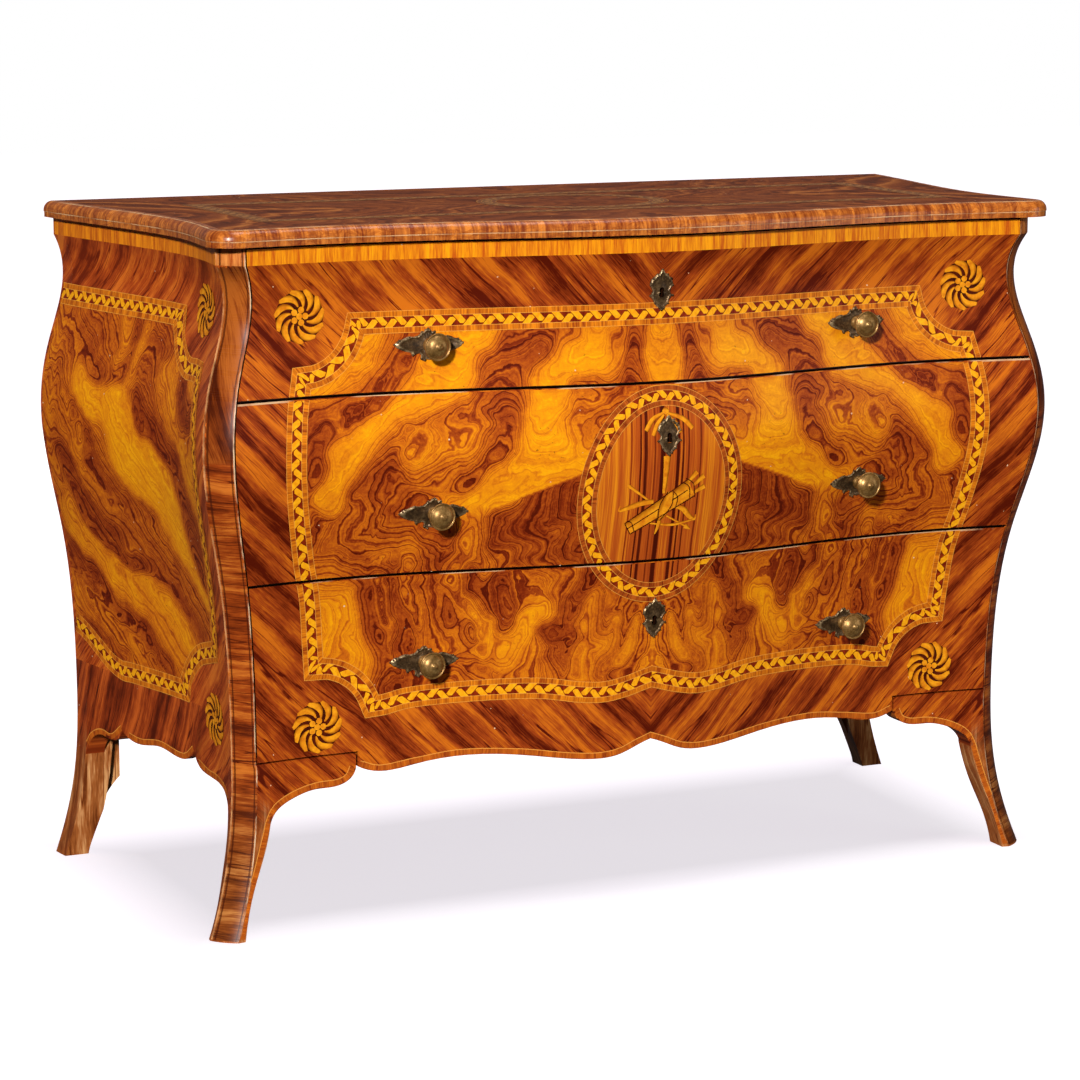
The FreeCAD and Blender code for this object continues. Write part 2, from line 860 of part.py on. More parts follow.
def add_knob(name, x, z):
    face_y = front_y(x, z) - size("plate_thickness")
    turned = FreeCAD.Rotation(V(1, 0, 0), 90)
    parts = []
    station = face_y + 6

    def turn(kind, label, length, **bound):
        piece = doc.addObject("Part::" + kind, "%s_%s" % (name, label))
        for key, alias in bound.items():
            piece.setExpression(key, alias)
        piece.Placement = FreeCAD.Placement(V(x, station, z), turned)
        parts.append(piece)
        return station - length

    station = turn(
        "Cylinder",
        "foot_blank",
        size("knob_foot") + 6,
        Radius="sizes.knob_collar_radius",
        Height="sizes.knob_foot + 6",
    )
    station = turn(
        "Cone",
        "collar",
        size("knob_collar"),
        Radius1="sizes.knob_collar_radius",
        Radius2="sizes.knob_neck_radius",
        Height="sizes.knob_collar",
    )
    station = turn(
        "Cylinder",
        "neck",
        size("knob_neck"),
        Radius="sizes.knob_neck_radius",
        Height="sizes.knob_neck",
    )
    station = turn(
        "Cone",
        "flare",
        size("knob_flare"),
        Radius1="sizes.knob_neck_radius",
        Radius2="sizes.knob_radius",
        Height="sizes.knob_flare",
    )
    station = turn(
        "Cylinder", "rim", size("knob_rim"), Radius="sizes.knob_radius", Height="sizes.knob_rim"
    )
    dome = size("knob_dome_radius")
    rim_angle = math.acos((size("knob_radius") - 1.2) / dome)
    station += dome * math.sin(rim_angle)
    turn("Sphere", "dome", 0, Radius="sizes.knob_dome_radius")
    parts[-1].Angle1 = math.degrees(rim_angle)
    parts[0] = add_cut(name + "_foot", parts[0], knob_space)
    rod = doc.addObject("Part::Cylinder", name + "_rod")
    rod.setExpression("Radius", "sizes.rod_radius")
    rod_end = rod_seat(x, z) + size("nut_thickness") + 3
    rod.Height = rod_end - face_y + 6
    rod.Placement = FreeCAD.Placement(V(x, rod_end, z), turned)
    return add_fuse(name, *parts, rod)


nodes = [
    top_board,
    top_moulding,
    left_side_panel,
    right_side_panel,
    front_left_post,
    front_right_post,
    rear_left_post,
    rear_right_post,
    front_left_knee_bracket,
    front_right_knee_bracket,
    back_board_upper,
    back_board_lower,
    bottom_board,
    top_front_rail,
    divider_rail_upper,
    divider_rail_lower,
    lower_guide_left,
    lower_guide_right,
]
nodes += runners

spread = size("knob_spread")
box_back = back_board_y - size("drawer_back_gap")
for name, drawer in DRAWERS.items():
    bottom, top = drawer["front"]
    knob_z, key_z = drawer["knob_z"], drawer["key_z"]
    floor = drawer["floor"]
    rim = drawer["rail"] - size("drawer_headroom")

    # Drawer front, cut from the swelling surface and hollowed behind for the lock and the nuts.
    if name == "lower":
        lower_edges = apron_edges()
    else:
        lower_edges = chain([V(-drawer_end(bottom), 0, bottom), V(drawer_end(bottom), 0, bottom)])
    front = slab.common(front_outline(bottom, top, lower_edges))
    front = front.cut(keyhole(key_z, drawer["lock_front"] + 1))
    lock_half = size("lock_half_width")
    front = front.cut(
        Part.makeBox(
            2 * lock_half,
            beyond,
            drawer["lock_top"] - drawer["lock_bottom"],
            V(-lock_half, drawer["lock_front"], drawer["lock_bottom"]),
        )
    )
    nut = size("nut_width")
    for x in (-spread, spread):
        front = front.cut(along_y(hole_radius, x, knob_z, -beyond, 0))
        front = front.cut(
            Part.makeBox(nut, beyond, nut, V(x - nut / 2, rod_seat(x, knob_z), knob_z - nut / 2))
        )
    nodes.append(add_shape(name + "_drawer_front", front))

    # Drawer box: two sides running on the case, a back and a thin bottom between them.
    side_blank = add_box(
        name + "_side_blank",
        (box_half - size("drawer_side"), -beyond, floor),
        (box_half, box_back, rim),
        Length="drawer_side",
    )
    right_side = add_cut(name + "_drawer_right_side", side_blank, box_space)
    left_side = add_mirror(name + "_drawer_left_side", right_side)
    inner_half = box_half - size("drawer_side")
    back = add_box(
        name + "_drawer_back",
        (-inner_half, box_back - size("drawer_back"), floor + size("drawer_bottom_rise")),
        (inner_half, box_back, rim),
        Width="drawer_back",
    )
    base_z = floor + size("drawer_bottom_rise")
    base_blank = add_box(
        name + "_bottom_blank",
        (-inner_half, -beyond, base_z),
        (inner_half, box_back - size("drawer_back"), base_z + size("drawer_bottom")),
        Height="drawer_bottom",
    )
    base = add_cut(name + "_drawer_bottom", base_blank, box_space)
    nodes += [left_side, right_side, back, base]

    # Knobs with their plates and the square nuts inside.
    plates = []
    nuts = []
    for x in (-spread, spread):
        outline = cartouche(
            PLATE_OUTLINE, size("plate_half_width"), size("plate_half_height"), x, knob_z
        )
        plate = plate_layer.common(outline).cut(along_y(hole_radius, x, knob_z, -beyond, 0))
        plates += plate.Solids
        seat = rod_seat(x, knob_z)
        block = Part.makeBox(
            nut, size("nut_thickness"), nut, V(x - nut / 2, seat, knob_z - nut / 2)
        )
        nuts.append(block.cut(along_y(size("rod_radius"), x, knob_z, -beyond, beyond)))
    nodes.append(add_shape(name + "_drawer_backplates", Part.makeCompound(plates)))
    nodes.append(add_shape(name + "_drawer_knob_nuts", Part.makeCompound(nuts)))
    nodes.append(add_knob(name + "_drawer_knob_left", -spread, knob_z))
    nodes.append(add_knob(name + "_drawer_knob_right", spread, knob_z))

    # Escutcheon, lock case and bolt.
    outline = cartouche(
        ESCUTCHEON_OUTLINE,
        size("escutcheon_half_width"),
        size("escutcheon_half_height"),
        0,
        key_z,
    )
    nodes.append(
        add_shape(name + "_drawer_escutcheon", plate_layer.common(outline).cut(keyhole(key_z, 0)))
    )
    case_blank = add_box(
        name + "_lock_blank",
        (-lock_half, drawer["lock_front"], drawer["lock_bottom"]),
        (lock_half, drawer["lock_back"], drawer["lock_top"]),
    )
    clear = size("bolt_clearance")
    bolt_half = size("bolt_half_width")
    bolt_deep = size("bolt_thickness") / 2
    bolt_z = drawer["lock_top"] - size("bolt_length")
    channel = add_box(
        name + "_bolt_channel",
        (-bolt_half - clear, drawer["bolt_y"] - bolt_deep - clear, bolt_z),
        (bolt_half + clear, drawer["bolt_y"] + bolt_deep + clear, drawer["lock_top"] + 10),
    )
    key_way = add_shape(name + "_key_way", keyhole(key_z, drawer["lock_back"] - size("lock_wall")))
    lock_case = trimmed(name + "_drawer_lock_case", case_blank, channel, key_way)
    bolt = add_box(
        name + "_drawer_lock_bolt",
        (-bolt_half, drawer["bolt_y"] - bolt_deep, bolt_z),
        (bolt_half, drawer["bolt_y"] + bolt_deep, drawer["lock_top"]),
        Width="bolt_thickness",
        Height="bolt_length",
    )
    nodes += [lock_case, bolt]

doc.recompute()
for thing in doc.Objects:
    if "Invalid" in thing.State or "Error" in thing.State:
        raise RuntimeError("%s did not build: %s" % (thing.Name, thing.State))
os.makedirs("parts", exist_ok=True)
for node in nodes:
    shape = node.Shape
    if shape.isNull() or not shape.isValid() or not shape.Solids:
        raise RuntimeError("%s has no sound shape" % node.Name)
    shape.exportStep("parts/%s.step" % node.Name)
    print(node.Name, len(shape.Solids), "solids, volume", round(shape.Volume / 1000, 1))
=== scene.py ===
import math

import bpy
import numpy as np
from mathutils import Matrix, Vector
from mathutils import noise as turbulence


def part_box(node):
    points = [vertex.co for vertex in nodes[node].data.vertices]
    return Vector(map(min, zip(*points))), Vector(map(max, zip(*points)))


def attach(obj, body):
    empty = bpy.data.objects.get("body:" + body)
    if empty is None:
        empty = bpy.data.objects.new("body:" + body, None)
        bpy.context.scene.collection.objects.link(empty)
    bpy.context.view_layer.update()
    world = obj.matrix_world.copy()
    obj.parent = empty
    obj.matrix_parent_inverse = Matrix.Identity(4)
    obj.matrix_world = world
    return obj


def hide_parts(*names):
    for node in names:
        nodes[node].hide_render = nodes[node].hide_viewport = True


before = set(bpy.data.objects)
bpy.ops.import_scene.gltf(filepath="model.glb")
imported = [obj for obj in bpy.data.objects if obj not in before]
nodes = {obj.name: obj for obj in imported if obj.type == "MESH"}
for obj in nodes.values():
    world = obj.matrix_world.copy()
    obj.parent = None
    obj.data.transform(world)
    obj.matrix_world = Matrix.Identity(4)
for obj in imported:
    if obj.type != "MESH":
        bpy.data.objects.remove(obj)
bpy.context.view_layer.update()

# Case boards, rails, runners and drawer boxes: sawn softwood, left bare and darkened by age.
# The grain runs along each board, from side to side in some and from front to back in others.
PINE_STRETCH = 0.06


def new_finish(name):
    finish = bpy.data.materials.new(name)
    finish.use_nodes = True
    return finish, finish.node_tree, finish.node_tree.nodes["Principled BSDF"]


def add(tree, kind, sockets=None, **settings):
    node = tree.nodes.new("ShaderNode" + kind)
    for key, value in settings.items():
        setattr(node, key, value)
    for socket, value in (sockets or {}).items():
        if isinstance(value, bpy.types.NodeSocket):
            tree.links.new(value, node.inputs[socket])
        else:
            node.inputs[socket].default_value = value
    return node


def calc(tree, operation, *values, clamp=False):
    return add(tree, "Math", dict(enumerate(values)), operation=operation, use_clamp=clamp).outputs[0]


def joined(tree, u, v, w=0.0):
    return add(tree, "CombineXYZ", {0: u, 1: v, 2: w}).outputs[0]


def place_on_piece(tree, kind="Object"):
    coords = add(tree, "TexCoord").outputs[kind]
    return add(tree, "SeparateXYZ", {0: coords}).outputs


def noise(tree, vector, scale, detail=3.0, roughness=0.55, distortion=0.0):
    sockets = {"Scale": scale, "Detail": detail, "Roughness": roughness, "Distortion": distortion}
    sockets["Vector"] = vector
    return add(tree, "TexNoise", sockets).outputs[0]


def lines(tree, value, scale, detail=2.0, roughness=0.6):
    sockets = {"W": value, "Scale": scale, "Detail": detail, "Roughness": roughness}
    return add(tree, "TexNoise", sockets, noise_dimensions="1D").outputs[0]


def tint(red, green, blue):
    parts = [part / 255 for part in (red, green, blue)]
    return [part / 12.92 if part < 0.04045 else ((part + 0.055) / 1.055) ** 2.4 for part in parts] + [1.0]


def ramp(tree, value, *stops):
    node = add(tree, "ValToRGB", {0: value})
    elements = node.color_ramp.elements
    for place, colour in stops[2:]:
        elements.new(place)
    for element, (place, colour) in zip(elements, stops):
        element.position = place
        element.color = tint(*colour)
    return node.outputs[0]


def span(tree, value, low, high, to_low=0.0, to_high=1.0):
    sockets = {0: value, 1: low, 2: high, 3: to_low, 4: to_high}
    return add(tree, "MapRange", sockets).outputs[0]


def blended(tree, factor, first, second, how="MIX"):
    node = add(tree, "Mix", {0: factor, 6: first, 7: second}, data_type="RGBA", blend_type=how)
    return node.outputs[2]


def polish(tree, shader, colour, rough, bump_from, bump_depth, shine=0.5):
    tree.links.new(colour, shader.inputs["Base Color"])
    tree.links.new(rough, shader.inputs["Roughness"])
    shader.inputs["Specular IOR Level"].default_value = shine
    bump = add(tree, "Bump", {"Height": bump_from, "Distance": bump_depth, "Strength": 0.6})
    tree.links.new(bump.outputs[0], shader.inputs["Normal"])


def pine_finish(name, along, pale, dark):
    finish, tree, shader = new_finish(name)
    x, y, z = place_on_piece(tree)
    if along == "x":
        grain = joined(tree, calc(tree, "MULTIPLY", x, PINE_STRETCH), y, z)
    else:
        grain = joined(tree, x, calc(tree, "MULTIPLY", y, PINE_STRETCH), z)
    broad = noise(tree, grain, 45, 4, 0.6, 0.6)
    fine = noise(tree, grain, 330, 3, 0.6)
    rings = calc(tree, "ADD", calc(tree, "MULTIPLY", broad, 0.5), calc(tree, "MULTIPLY", fine, 0.5))
    dirt = noise(tree, joined(tree, x, y, z), 7, 4)
    wood = ramp(tree, rings, (0.38, dark), (0.6, pale))
    stain = ramp(tree, dirt, (0.3, (176, 150, 120)), (0.65, (255, 255, 255)))
    colour = blended(tree, 0.8, wood, stain, "MULTIPLY")
    polish(tree, shader, colour, span(tree, rings, 0, 1, 0.75, 0.6), rings, 0.0006, shine=0.2)
    return finish


def dress(finish, *names):
    for name in names:
        nodes[name].material_slots[0].material = finish


DRAWERS = ("upper", "middle", "lower")
pine_across = pine_finish("pine_across", "x", (196, 146, 92), (150, 98, 54))
pine_deep = pine_finish("pine_deep", "y", (190, 140, 88), (144, 94, 52))
dress(pine_across, "back_board_upper", "back_board_lower", "bottom_board")
dress(pine_across, "top_front_rail", "divider_rail_upper", "divider_rail_lower")
for hand in ("left", "right"):
    dress(pine_deep, "lower_guide_" + hand, "middle_runner_" + hand, "upper_runner_" + hand)
    for drawer in DRAWERS:
        dress(pine_deep, "%s_drawer_%s_side" % (drawer, hand))
for drawer in DRAWERS:
    dress(pine_across, drawer + "_drawer_back", drawer + "_drawer_bottom")


# Drawer fronts: curved cores veneered all over and waxed. A border of straight-grained walnut runs
# slantwise from both ends down to the middle, and the edge under the lid is cross-banded in lighter wood.
BORDER_SLANT = math.radians(45)
BORDER_TONES = ((84, 19, 3), (156, 62, 18), (208, 108, 22))
FRIEZE_FOOT = 0.8475
SAW_EDGE = 0.0012
WAX_SHINE = 0.07
# sawn edges are painted dark as shade down to the scalloped apron, which has its own edge strip
EDGE_SHADE_FOOT = 0.23
# the wood under each escutcheon is painted dark round the keyhole, as shade in the hole, which drops below
# the middle of the plate
KEY_DROP = 0.003
KEY_REACH = (0.0055, 0.0125)


def stretched(tree, u, v, u_scale, v_scale):
    return joined(tree, calc(tree, "MULTIPLY", u, u_scale), calc(tree, "MULTIPLY", v, v_scale))


def balance(tree, *layers):
    tone = 0.5
    for value, weight in layers:
        tone = calc(tree, "MULTIPLY_ADD", calc(tree, "SUBTRACT", value, 0.5), weight, tone)
    return tone


def turned_axes(tree, u, v, angle):
    rise, run = math.sin(angle), math.cos(angle)
    along = calc(tree, "ADD", calc(tree, "MULTIPLY", u, run), calc(tree, "MULTIPLY", v, rise))
    across = calc(tree, "SUBTRACT", calc(tree, "MULTIPLY", v, run), calc(tree, "MULTIPLY", u, rise))
    return along, across


def streaked(tree, across, along, dark, middle, light):
    here = joined(tree, across, along)
    across = calc(tree, "MULTIPLY_ADD", noise(tree, here, 5, 2), 0.022, across)
    broad = noise(tree, stretched(tree, across, along, 38, 2.0), 1, 2, 0.5)
    narrow = noise(tree, stretched(tree, across, along, 130, 5.0), 1, 3, 0.6)
    hairs = noise(tree, stretched(tree, across, along, 700, 40), 1, 2, 0.6)
    cloud = noise(tree, here, 16, 3, 0.6)
    tone = balance(tree, (broad, 1.1), (narrow, 0.6), (hairs, 0.5), (cloud, 0.5))
    # now and then a thin dark vein follows the grain
    ridge = noise(tree, stretched(tree, across, along, 52, 2.4), 1, 2, 0.5)
    vein = span(tree, calc(tree, "ABSOLUTE", calc(tree, "SUBTRACT", ridge, 0.47)), 0.003, 0.014, 0.34, 0.0)
    tone = calc(tree, "SUBTRACT", tone, calc(tree, "MULTIPLY", vein, span(tree, cloud, 0.42, 0.56)))
    return ramp(tree, tone, (0.3, dark), (0.5, middle), (0.7, light)), tone


def cross_grained(tree, along, across, dark, light):
    fine = noise(tree, stretched(tree, along, across, 420, 30), 1, 3, 0.6)
    broad = noise(tree, stretched(tree, along, across, 90, 6), 1, 2, 0.5)
    tone = balance(tree, (fine, 0.7), (broad, 0.7))
    return ramp(tree, tone, (0.34, dark), (0.64, light)), tone


def chipped(tree, colour, u, v):
    cells = add(tree, "TexVoronoi", {"Vector": joined(tree, u, v), "Scale": 24}, voronoi_dimensions="2D")
    pick = add(tree, "SeparateXYZ", {0: cells.outputs["Color"]}).outputs
    size = span(tree, pick[1], 0, 1, 0.004, 0.028)
    near = calc(tree, "LESS_THAN", cells.outputs["Distance"], size)
    chosen = calc(tree, "GREATER_THAN", pick[0], 0.75)
    return blended(tree, calc(tree, "MULTIPLY", near, chosen), colour, tint(228, 190, 150))


def facing_way(tree):
    return add(tree, "SeparateXYZ", {0: add(tree, "NewGeometry").outputs["Normal"]}).outputs


def middle_of(node):
    low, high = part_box(node)
    return (low[0] + high[0]) / 2, (low[2] + high[2]) / 2


def worn_line(tree, colour, x, z, height):
    near = calc(tree, "COMPARE", z, height, SAW_EDGE)
    patchy = span(tree, noise(tree, joined(tree, x, height), 12, 4), 0.46, 0.56)
    return blended(tree, calc(tree, "MULTIPLY", near, patchy), colour, tint(210, 168, 126))


# painted shade: the wood seen through each keyhole is made nearly black
def keyhole_shade_painted(tree, colour, out, z):
    for drawer in DRAWERS:
        key_z = middle_of(drawer + "_drawer_escutcheon")[1]
        level = calc(tree, "COMPARE", z, key_z - KEY_DROP, KEY_REACH[1])
        near = calc(tree, "MULTIPLY", level, calc(tree, "LESS_THAN", out, KEY_REACH[0]))
        colour = blended(tree, near, colour, tint(24, 12, 6))
    return colour


def front_finish():
    finish, tree, shader = new_finish("front_border")
    x, y, z = place_on_piece(tree)
    out = calc(tree, "ABSOLUTE", x)
    along, across = turned_axes(tree, out, z, BORDER_SLANT)
    border, tone = streaked(tree, across, along, *BORDER_TONES)
    frieze = cross_grained(tree, x, z, (190, 84, 18), (246, 158, 18))[0]
    colour = blended(tree, calc(tree, "GREATER_THAN", z, FRIEZE_FOOT), border, frieze)
    for drawer in ("middle", "lower"):
        top_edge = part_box(drawer + "_drawer_front")[1][2]
        colour = worn_line(tree, colour, x, z, top_edge - SAW_EDGE)
    # painted shade: a nearly black line along the bottom edge of the upper and middle drawer fronts, as
    # shadow in the gaps below them
    for drawer in ("upper", "middle"):
        foot = calc(tree, "COMPARE", z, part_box(drawer + "_drawer_front")[0][2], SAW_EDGE)
        colour = blended(tree, foot, colour, tint(26, 10, 4))
    colour = chipped(tree, colour, x, z)
    colour = keyhole_shade_painted(tree, colour, out, z)
    # the sawn edges of the core and the walls of the keyholes are painted dark, as shade in the gaps and
    # holes
    facing = facing_way(tree)
    edge_shade = span(tree, calc(tree, "ABSOLUTE", facing[1]), 0.4, 0.25)
    edge_shade = calc(tree, "MULTIPLY", edge_shade, calc(tree, "GREATER_THAN", z, EDGE_SHADE_FOOT))
    colour = blended(tree, edge_shade, colour, tint(46, 20, 8))
    polish(tree, shader, colour, span(tree, tone, 0.2, 0.8, 0.42, 0.3), tone, 0.0002, shine=WAX_SHINE)
    return finish


front_border = front_finish()
for drawer in DRAWERS:
    dress(front_border, drawer + "_drawer_front")
for hand in ("left", "right"):
    dress(front_border, "front_%s_knee_bracket" % hand)


# Burl fields: thin leaves of figured walnut, opened like a book about the middle line of the front.
# The veneer is laid over the three drawer fronts at once and then sawn through between them.
BAND_WIDTH = 0.0278
STRIP_STEP = 0.005
FIELD_LOW, FIELD_HIGH = (-0.495, 0.262), (0.495, 0.785)
FIGURE_CELL = 0.003
VENEER_LIFT = 0.0003
# flat pieces start clear of the chest and are pressed back on to it; a corner that stays put met no wood
IN_FRONT = -0.42
STAYED_PUT = 0.001
FIGURE_SEED = 3
UPPER_ROSETTE = (0.470, 0.7815)
LOWER_ROSETTE = (0.444, 0.2600)
STEP_ROUND = 0.0615
ARC_STEPS = 6
RUN_STEPS = 16


def arc(centre, radius, first, last):
    turns = [math.radians(first + (last - first) * step / ARC_STEPS) for step in range(ARC_STEPS + 1)]
    return [(centre[0] + radius * math.cos(a), centre[1] + radius * math.sin(a)) for a in turns]


# right half of the field's edge, from the bottom middle to the top middle, stepping round the rosettes
half_outline = [
    [(0.0, 0.2805), (0.037, 0.2703), (0.068, 0.2657), (0.103, 0.2683), (0.157, 0.2765), (0.237, 0.2777)]
    + [(0.315, 0.2745), (0.352, 0.2675), (0.3795, 0.2650)],
    [(0.3795, 0.2650)] + arc(LOWER_ROSETTE, STEP_ROUND, 168, 95)[1:] + [(0.4620, 0.3215)],
    [(0.4620, 0.3215), (0.466, 0.368), (0.472, 0.425), (0.484, 0.478), (0.4955, 0.545), (0.4995, 0.600)]
    + [(0.4955, 0.660), (0.4830, 0.7197)],
    [(0.4830, 0.7197)] + arc(UPPER_ROSETTE, STEP_ROUND, 275, 185)[1:] + [(0.4062, 0.7830)],
    [(0.4062, 0.7830), (0.0, 0.7830)],
]
front_outline = half_outline + [[(-x, z) for x, z in reversed(run)] for run in reversed(half_outline)]


def smooth_run(points, step):
    points = [Vector(point) for point in points]
    guided = [2 * points[0] - points[1]] + points + [2 * points[-1] - points[-2]]
    dense = []
    for before, start, end, after in zip(guided, guided[1:], guided[2:], guided[3:]):
        for count in range(RUN_STEPS):
            t = count / RUN_STEPS
            bow = (2 * before - 5 * start + 4 * end - after) * t * t
            turn = (3 * start - before - 3 * end + after) * t ** 3
            dense.append(start + ((end - before) * t + bow + turn) / 2)
    dense.append(points[-1])
    travelled = [0.0]
    for start, end in zip(dense, dense[1:]):
        travelled.append(travelled[-1] + (end - start).length)
    count = max(2, round(travelled[-1] / step))
    evenly = []
    spot = 0
    for number in range(count + 1):
        wanted = travelled[-1] * number / count
        while spot < len(dense) - 2 and travelled[spot + 1] < wanted:
            spot += 1
        share = (wanted - travelled[spot]) / (travelled[spot + 1] - travelled[spot])
        evenly.append(dense[spot].lerp(dense[spot + 1], share))
    return evenly


def left_of(way):
    return Vector((-way.y, way.x)).normalized()


def mitred_line(runs, width, step, closed):
    stations = []
    corners = []
    for points in (smooth_run(run, step) for run in runs):
        ways = [end - start for start, end in zip(points, points[1:])]
        lefts = [left_of(ways[0])] + [left_of(a + b) for a, b in zip(ways, ways[1:])] + [left_of(ways[-1])]
        if stations:
            last_left = stations.pop()[1]
            inner_turn = last_left.cross(lefts[0]) > 0
            lefts[0] = (last_left + lefts[0]) / (1 + last_left.dot(lefts[0]))
            reach = width * math.sqrt(max(0, lefts[0].length_squared - 1)) if inner_turn else 0
            corners.append((points[0], reach))
        stations += list(zip(points, lefts))
    if closed:
        meet = (stations[-1][1] + stations[0][1]) / (1 + stations[-1][1].dot(stations[0][1]))
        stations[0] = (stations[0][0], meet)
        stations[-1] = (stations[-1][0], meet)

    # near an inner corner the inner edge would fold over itself, so those stations are left out
    def lies_flat(point):
        return all(not 0 < (point - corner).length < reach for corner, reach in corners)

    return [station for station in stations if lies_flat(station[0])]


def new_grid(name, along, across, place):
    bpy.ops.object.select_all(action="DESELECT")
    bpy.ops.mesh.primitive_grid_add(x_subdivisions=along, y_subdivisions=across, size=1)
    piece = bpy.context.object
    piece.name = name
    shares = [(vertex.co.x + 0.5, vertex.co.y + 0.5) for vertex in piece.data.vertices]
    marks = []
    for vertex, (u, v) in zip(piece.data.vertices, shares):
        vertex.co, mark = place(u, v)
        marks.append(mark)
    for loop, corner in zip(piece.data.loops, piece.data.uv_layers[0].data):
        corner.uv = marks[loop.vertex_index]
    return piece


def trim(piece, place, way, clear=True):
    bpy.context.view_layer.objects.active = piece
    bpy.ops.object.mode_set(mode="EDIT")
    bpy.ops.mesh.select_all(action="SELECT")
    bpy.ops.mesh.bisect(plane_co=place, plane_no=way, clear_outer=clear)
    bpy.ops.object.mode_set(mode="OBJECT")


def delete_faces(piece, doomed):
    bpy.context.view_layer.objects.active = piece
    bpy.ops.object.mode_set(mode="EDIT")
    bpy.ops.mesh.select_mode(type="FACE")
    bpy.ops.mesh.select_all(action="DESELECT")
    bpy.ops.object.mode_set(mode="OBJECT")
    for face, goes in zip(piece.data.polygons, doomed):
        face.select = bool(goes)
    bpy.ops.object.mode_set(mode="EDIT")
    bpy.ops.mesh.delete(type="FACE")
    bpy.ops.object.mode_set(mode="OBJECT")


def press_onto(piece, target, axis, forward, lift):
    press = piece.modifiers.new("press", "SHRINKWRAP")
    press.target = target
    press.wrap_method = "PROJECT"
    setattr(press, "use_project_" + axis, True)
    press.use_positive_direction = forward
    press.use_negative_direction = not forward
    bpy.context.view_layer.objects.active = piece
    starts = [vertex.co.copy() for vertex in piece.data.vertices]
    bpy.ops.object.modifier_apply(modifier=press.name)
    # corners over a drilled hole find no wood to land on, so the faces there are cut out
    moves = [(vertex.co - start).length for vertex, start in zip(piece.data.vertices, starts)]
    missed = {number for number, move in enumerate(moves) if move < STAYED_PUT}
    if missed:
        delete_faces(piece, [missed.intersection(face.vertices) for face in piece.data.polygons])
    shift = Vector([lift if letter == axis else 0 for letter in "xyz"]) * (-1 if forward else 1)
    for vertex in piece.data.vertices:
        vertex.co += shift
    piece.data.shade_smooth()


def front_plane(x, z):
    return (x, IN_FRONT, z)


def front_flat(place):
    return (place[0], place[2])


def saw_to_drawer(piece, drawer):
    low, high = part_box(drawer + "_drawer_front")
    trim(piece, (0, 0, high[2] - SAW_EDGE), (0, 0, 1))
    trim(piece, (0, 0, low[2] + SAW_EDGE), (0, 0, -1))


def glue_to_drawer(piece, drawer, finish, lift):
    press_onto(piece, nodes[drawer + "_drawer_front"], "y", True, lift)
    piece.data.materials.append(finish)
    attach(piece, drawer + "_drawer")


def inside(spots, edge):
    crossings = np.zeros(len(spots), int)
    for (x0, z0), (x1, z1) in zip(edge, edge[1:] + edge[:1]):
        between = (spots[:, 1] < z0) != (spots[:, 1] < z1)
        reach = x0 + (spots[:, 1] - z0) * (x1 - x0) / ((z1 - z0) or 1)
        crossings += between & (spots[:, 0] < reach)
    return crossings % 2 == 1


def figured_sheet(name, low, high, plane, flat, edge):
    columns, rows = [round((end - start) / FIGURE_CELL) for start, end in zip(low, high)]

    def place(u, v):
        return plane(low[0] + (high[0] - low[0]) * u, low[1] + (high[1] - low[1]) * v), (u, v)

    sheet = new_grid(name, columns, rows, place)
    centres = np.array([flat(face.center) for face in sheet.data.polygons])
    delete_faces(sheet, ~inside(centres, edge))
    return sheet


def stroke_distance(spots, path):
    best = np.full(len(spots), np.inf)
    for start, end in zip(path, path[1:]):
        start, way = np.array(start), np.array(end) - np.array(start)
        share = np.clip((spots - start) @ way / (way @ way), 0, 1)
        best = np.minimum(best, np.linalg.norm(spots - start - share[:, None] * way, axis=1))
    return best


def figure_tone(spots, strokes):
    total = np.full(len(spots), 0.03)
    tone = total * 0.45
    for shade, width, path in strokes:
        weight = np.exp(-((stroke_distance(spots, path) / width) ** 2))
        total += weight
        tone += weight * shade
    return tone / total


turbulence.seed_set(FIGURE_SEED)


def wandering(spots):
    pushed = []
    for u, v in spots:
        coarse = turbulence.noise_vector((24 * u, 24 * v, 0)) * 0.009
        fine = turbulence.noise_vector((66 * u, 66 * v, 7)) * 0.0025
        pushed.append((u + coarse.x + fine.x, v + coarse.y + fine.y))
    return np.array(pushed)


def mark_figure(sheet, flat, figure_of):
    spots = np.array([flat(vertex.co) for vertex in sheet.data.vertices])
    for layer, values in zip(("tone", "growth"), figure_of(spots)):
        sheet.data.attributes.new(layer, "FLOAT", "POINT").data.foreach_set("value", values)


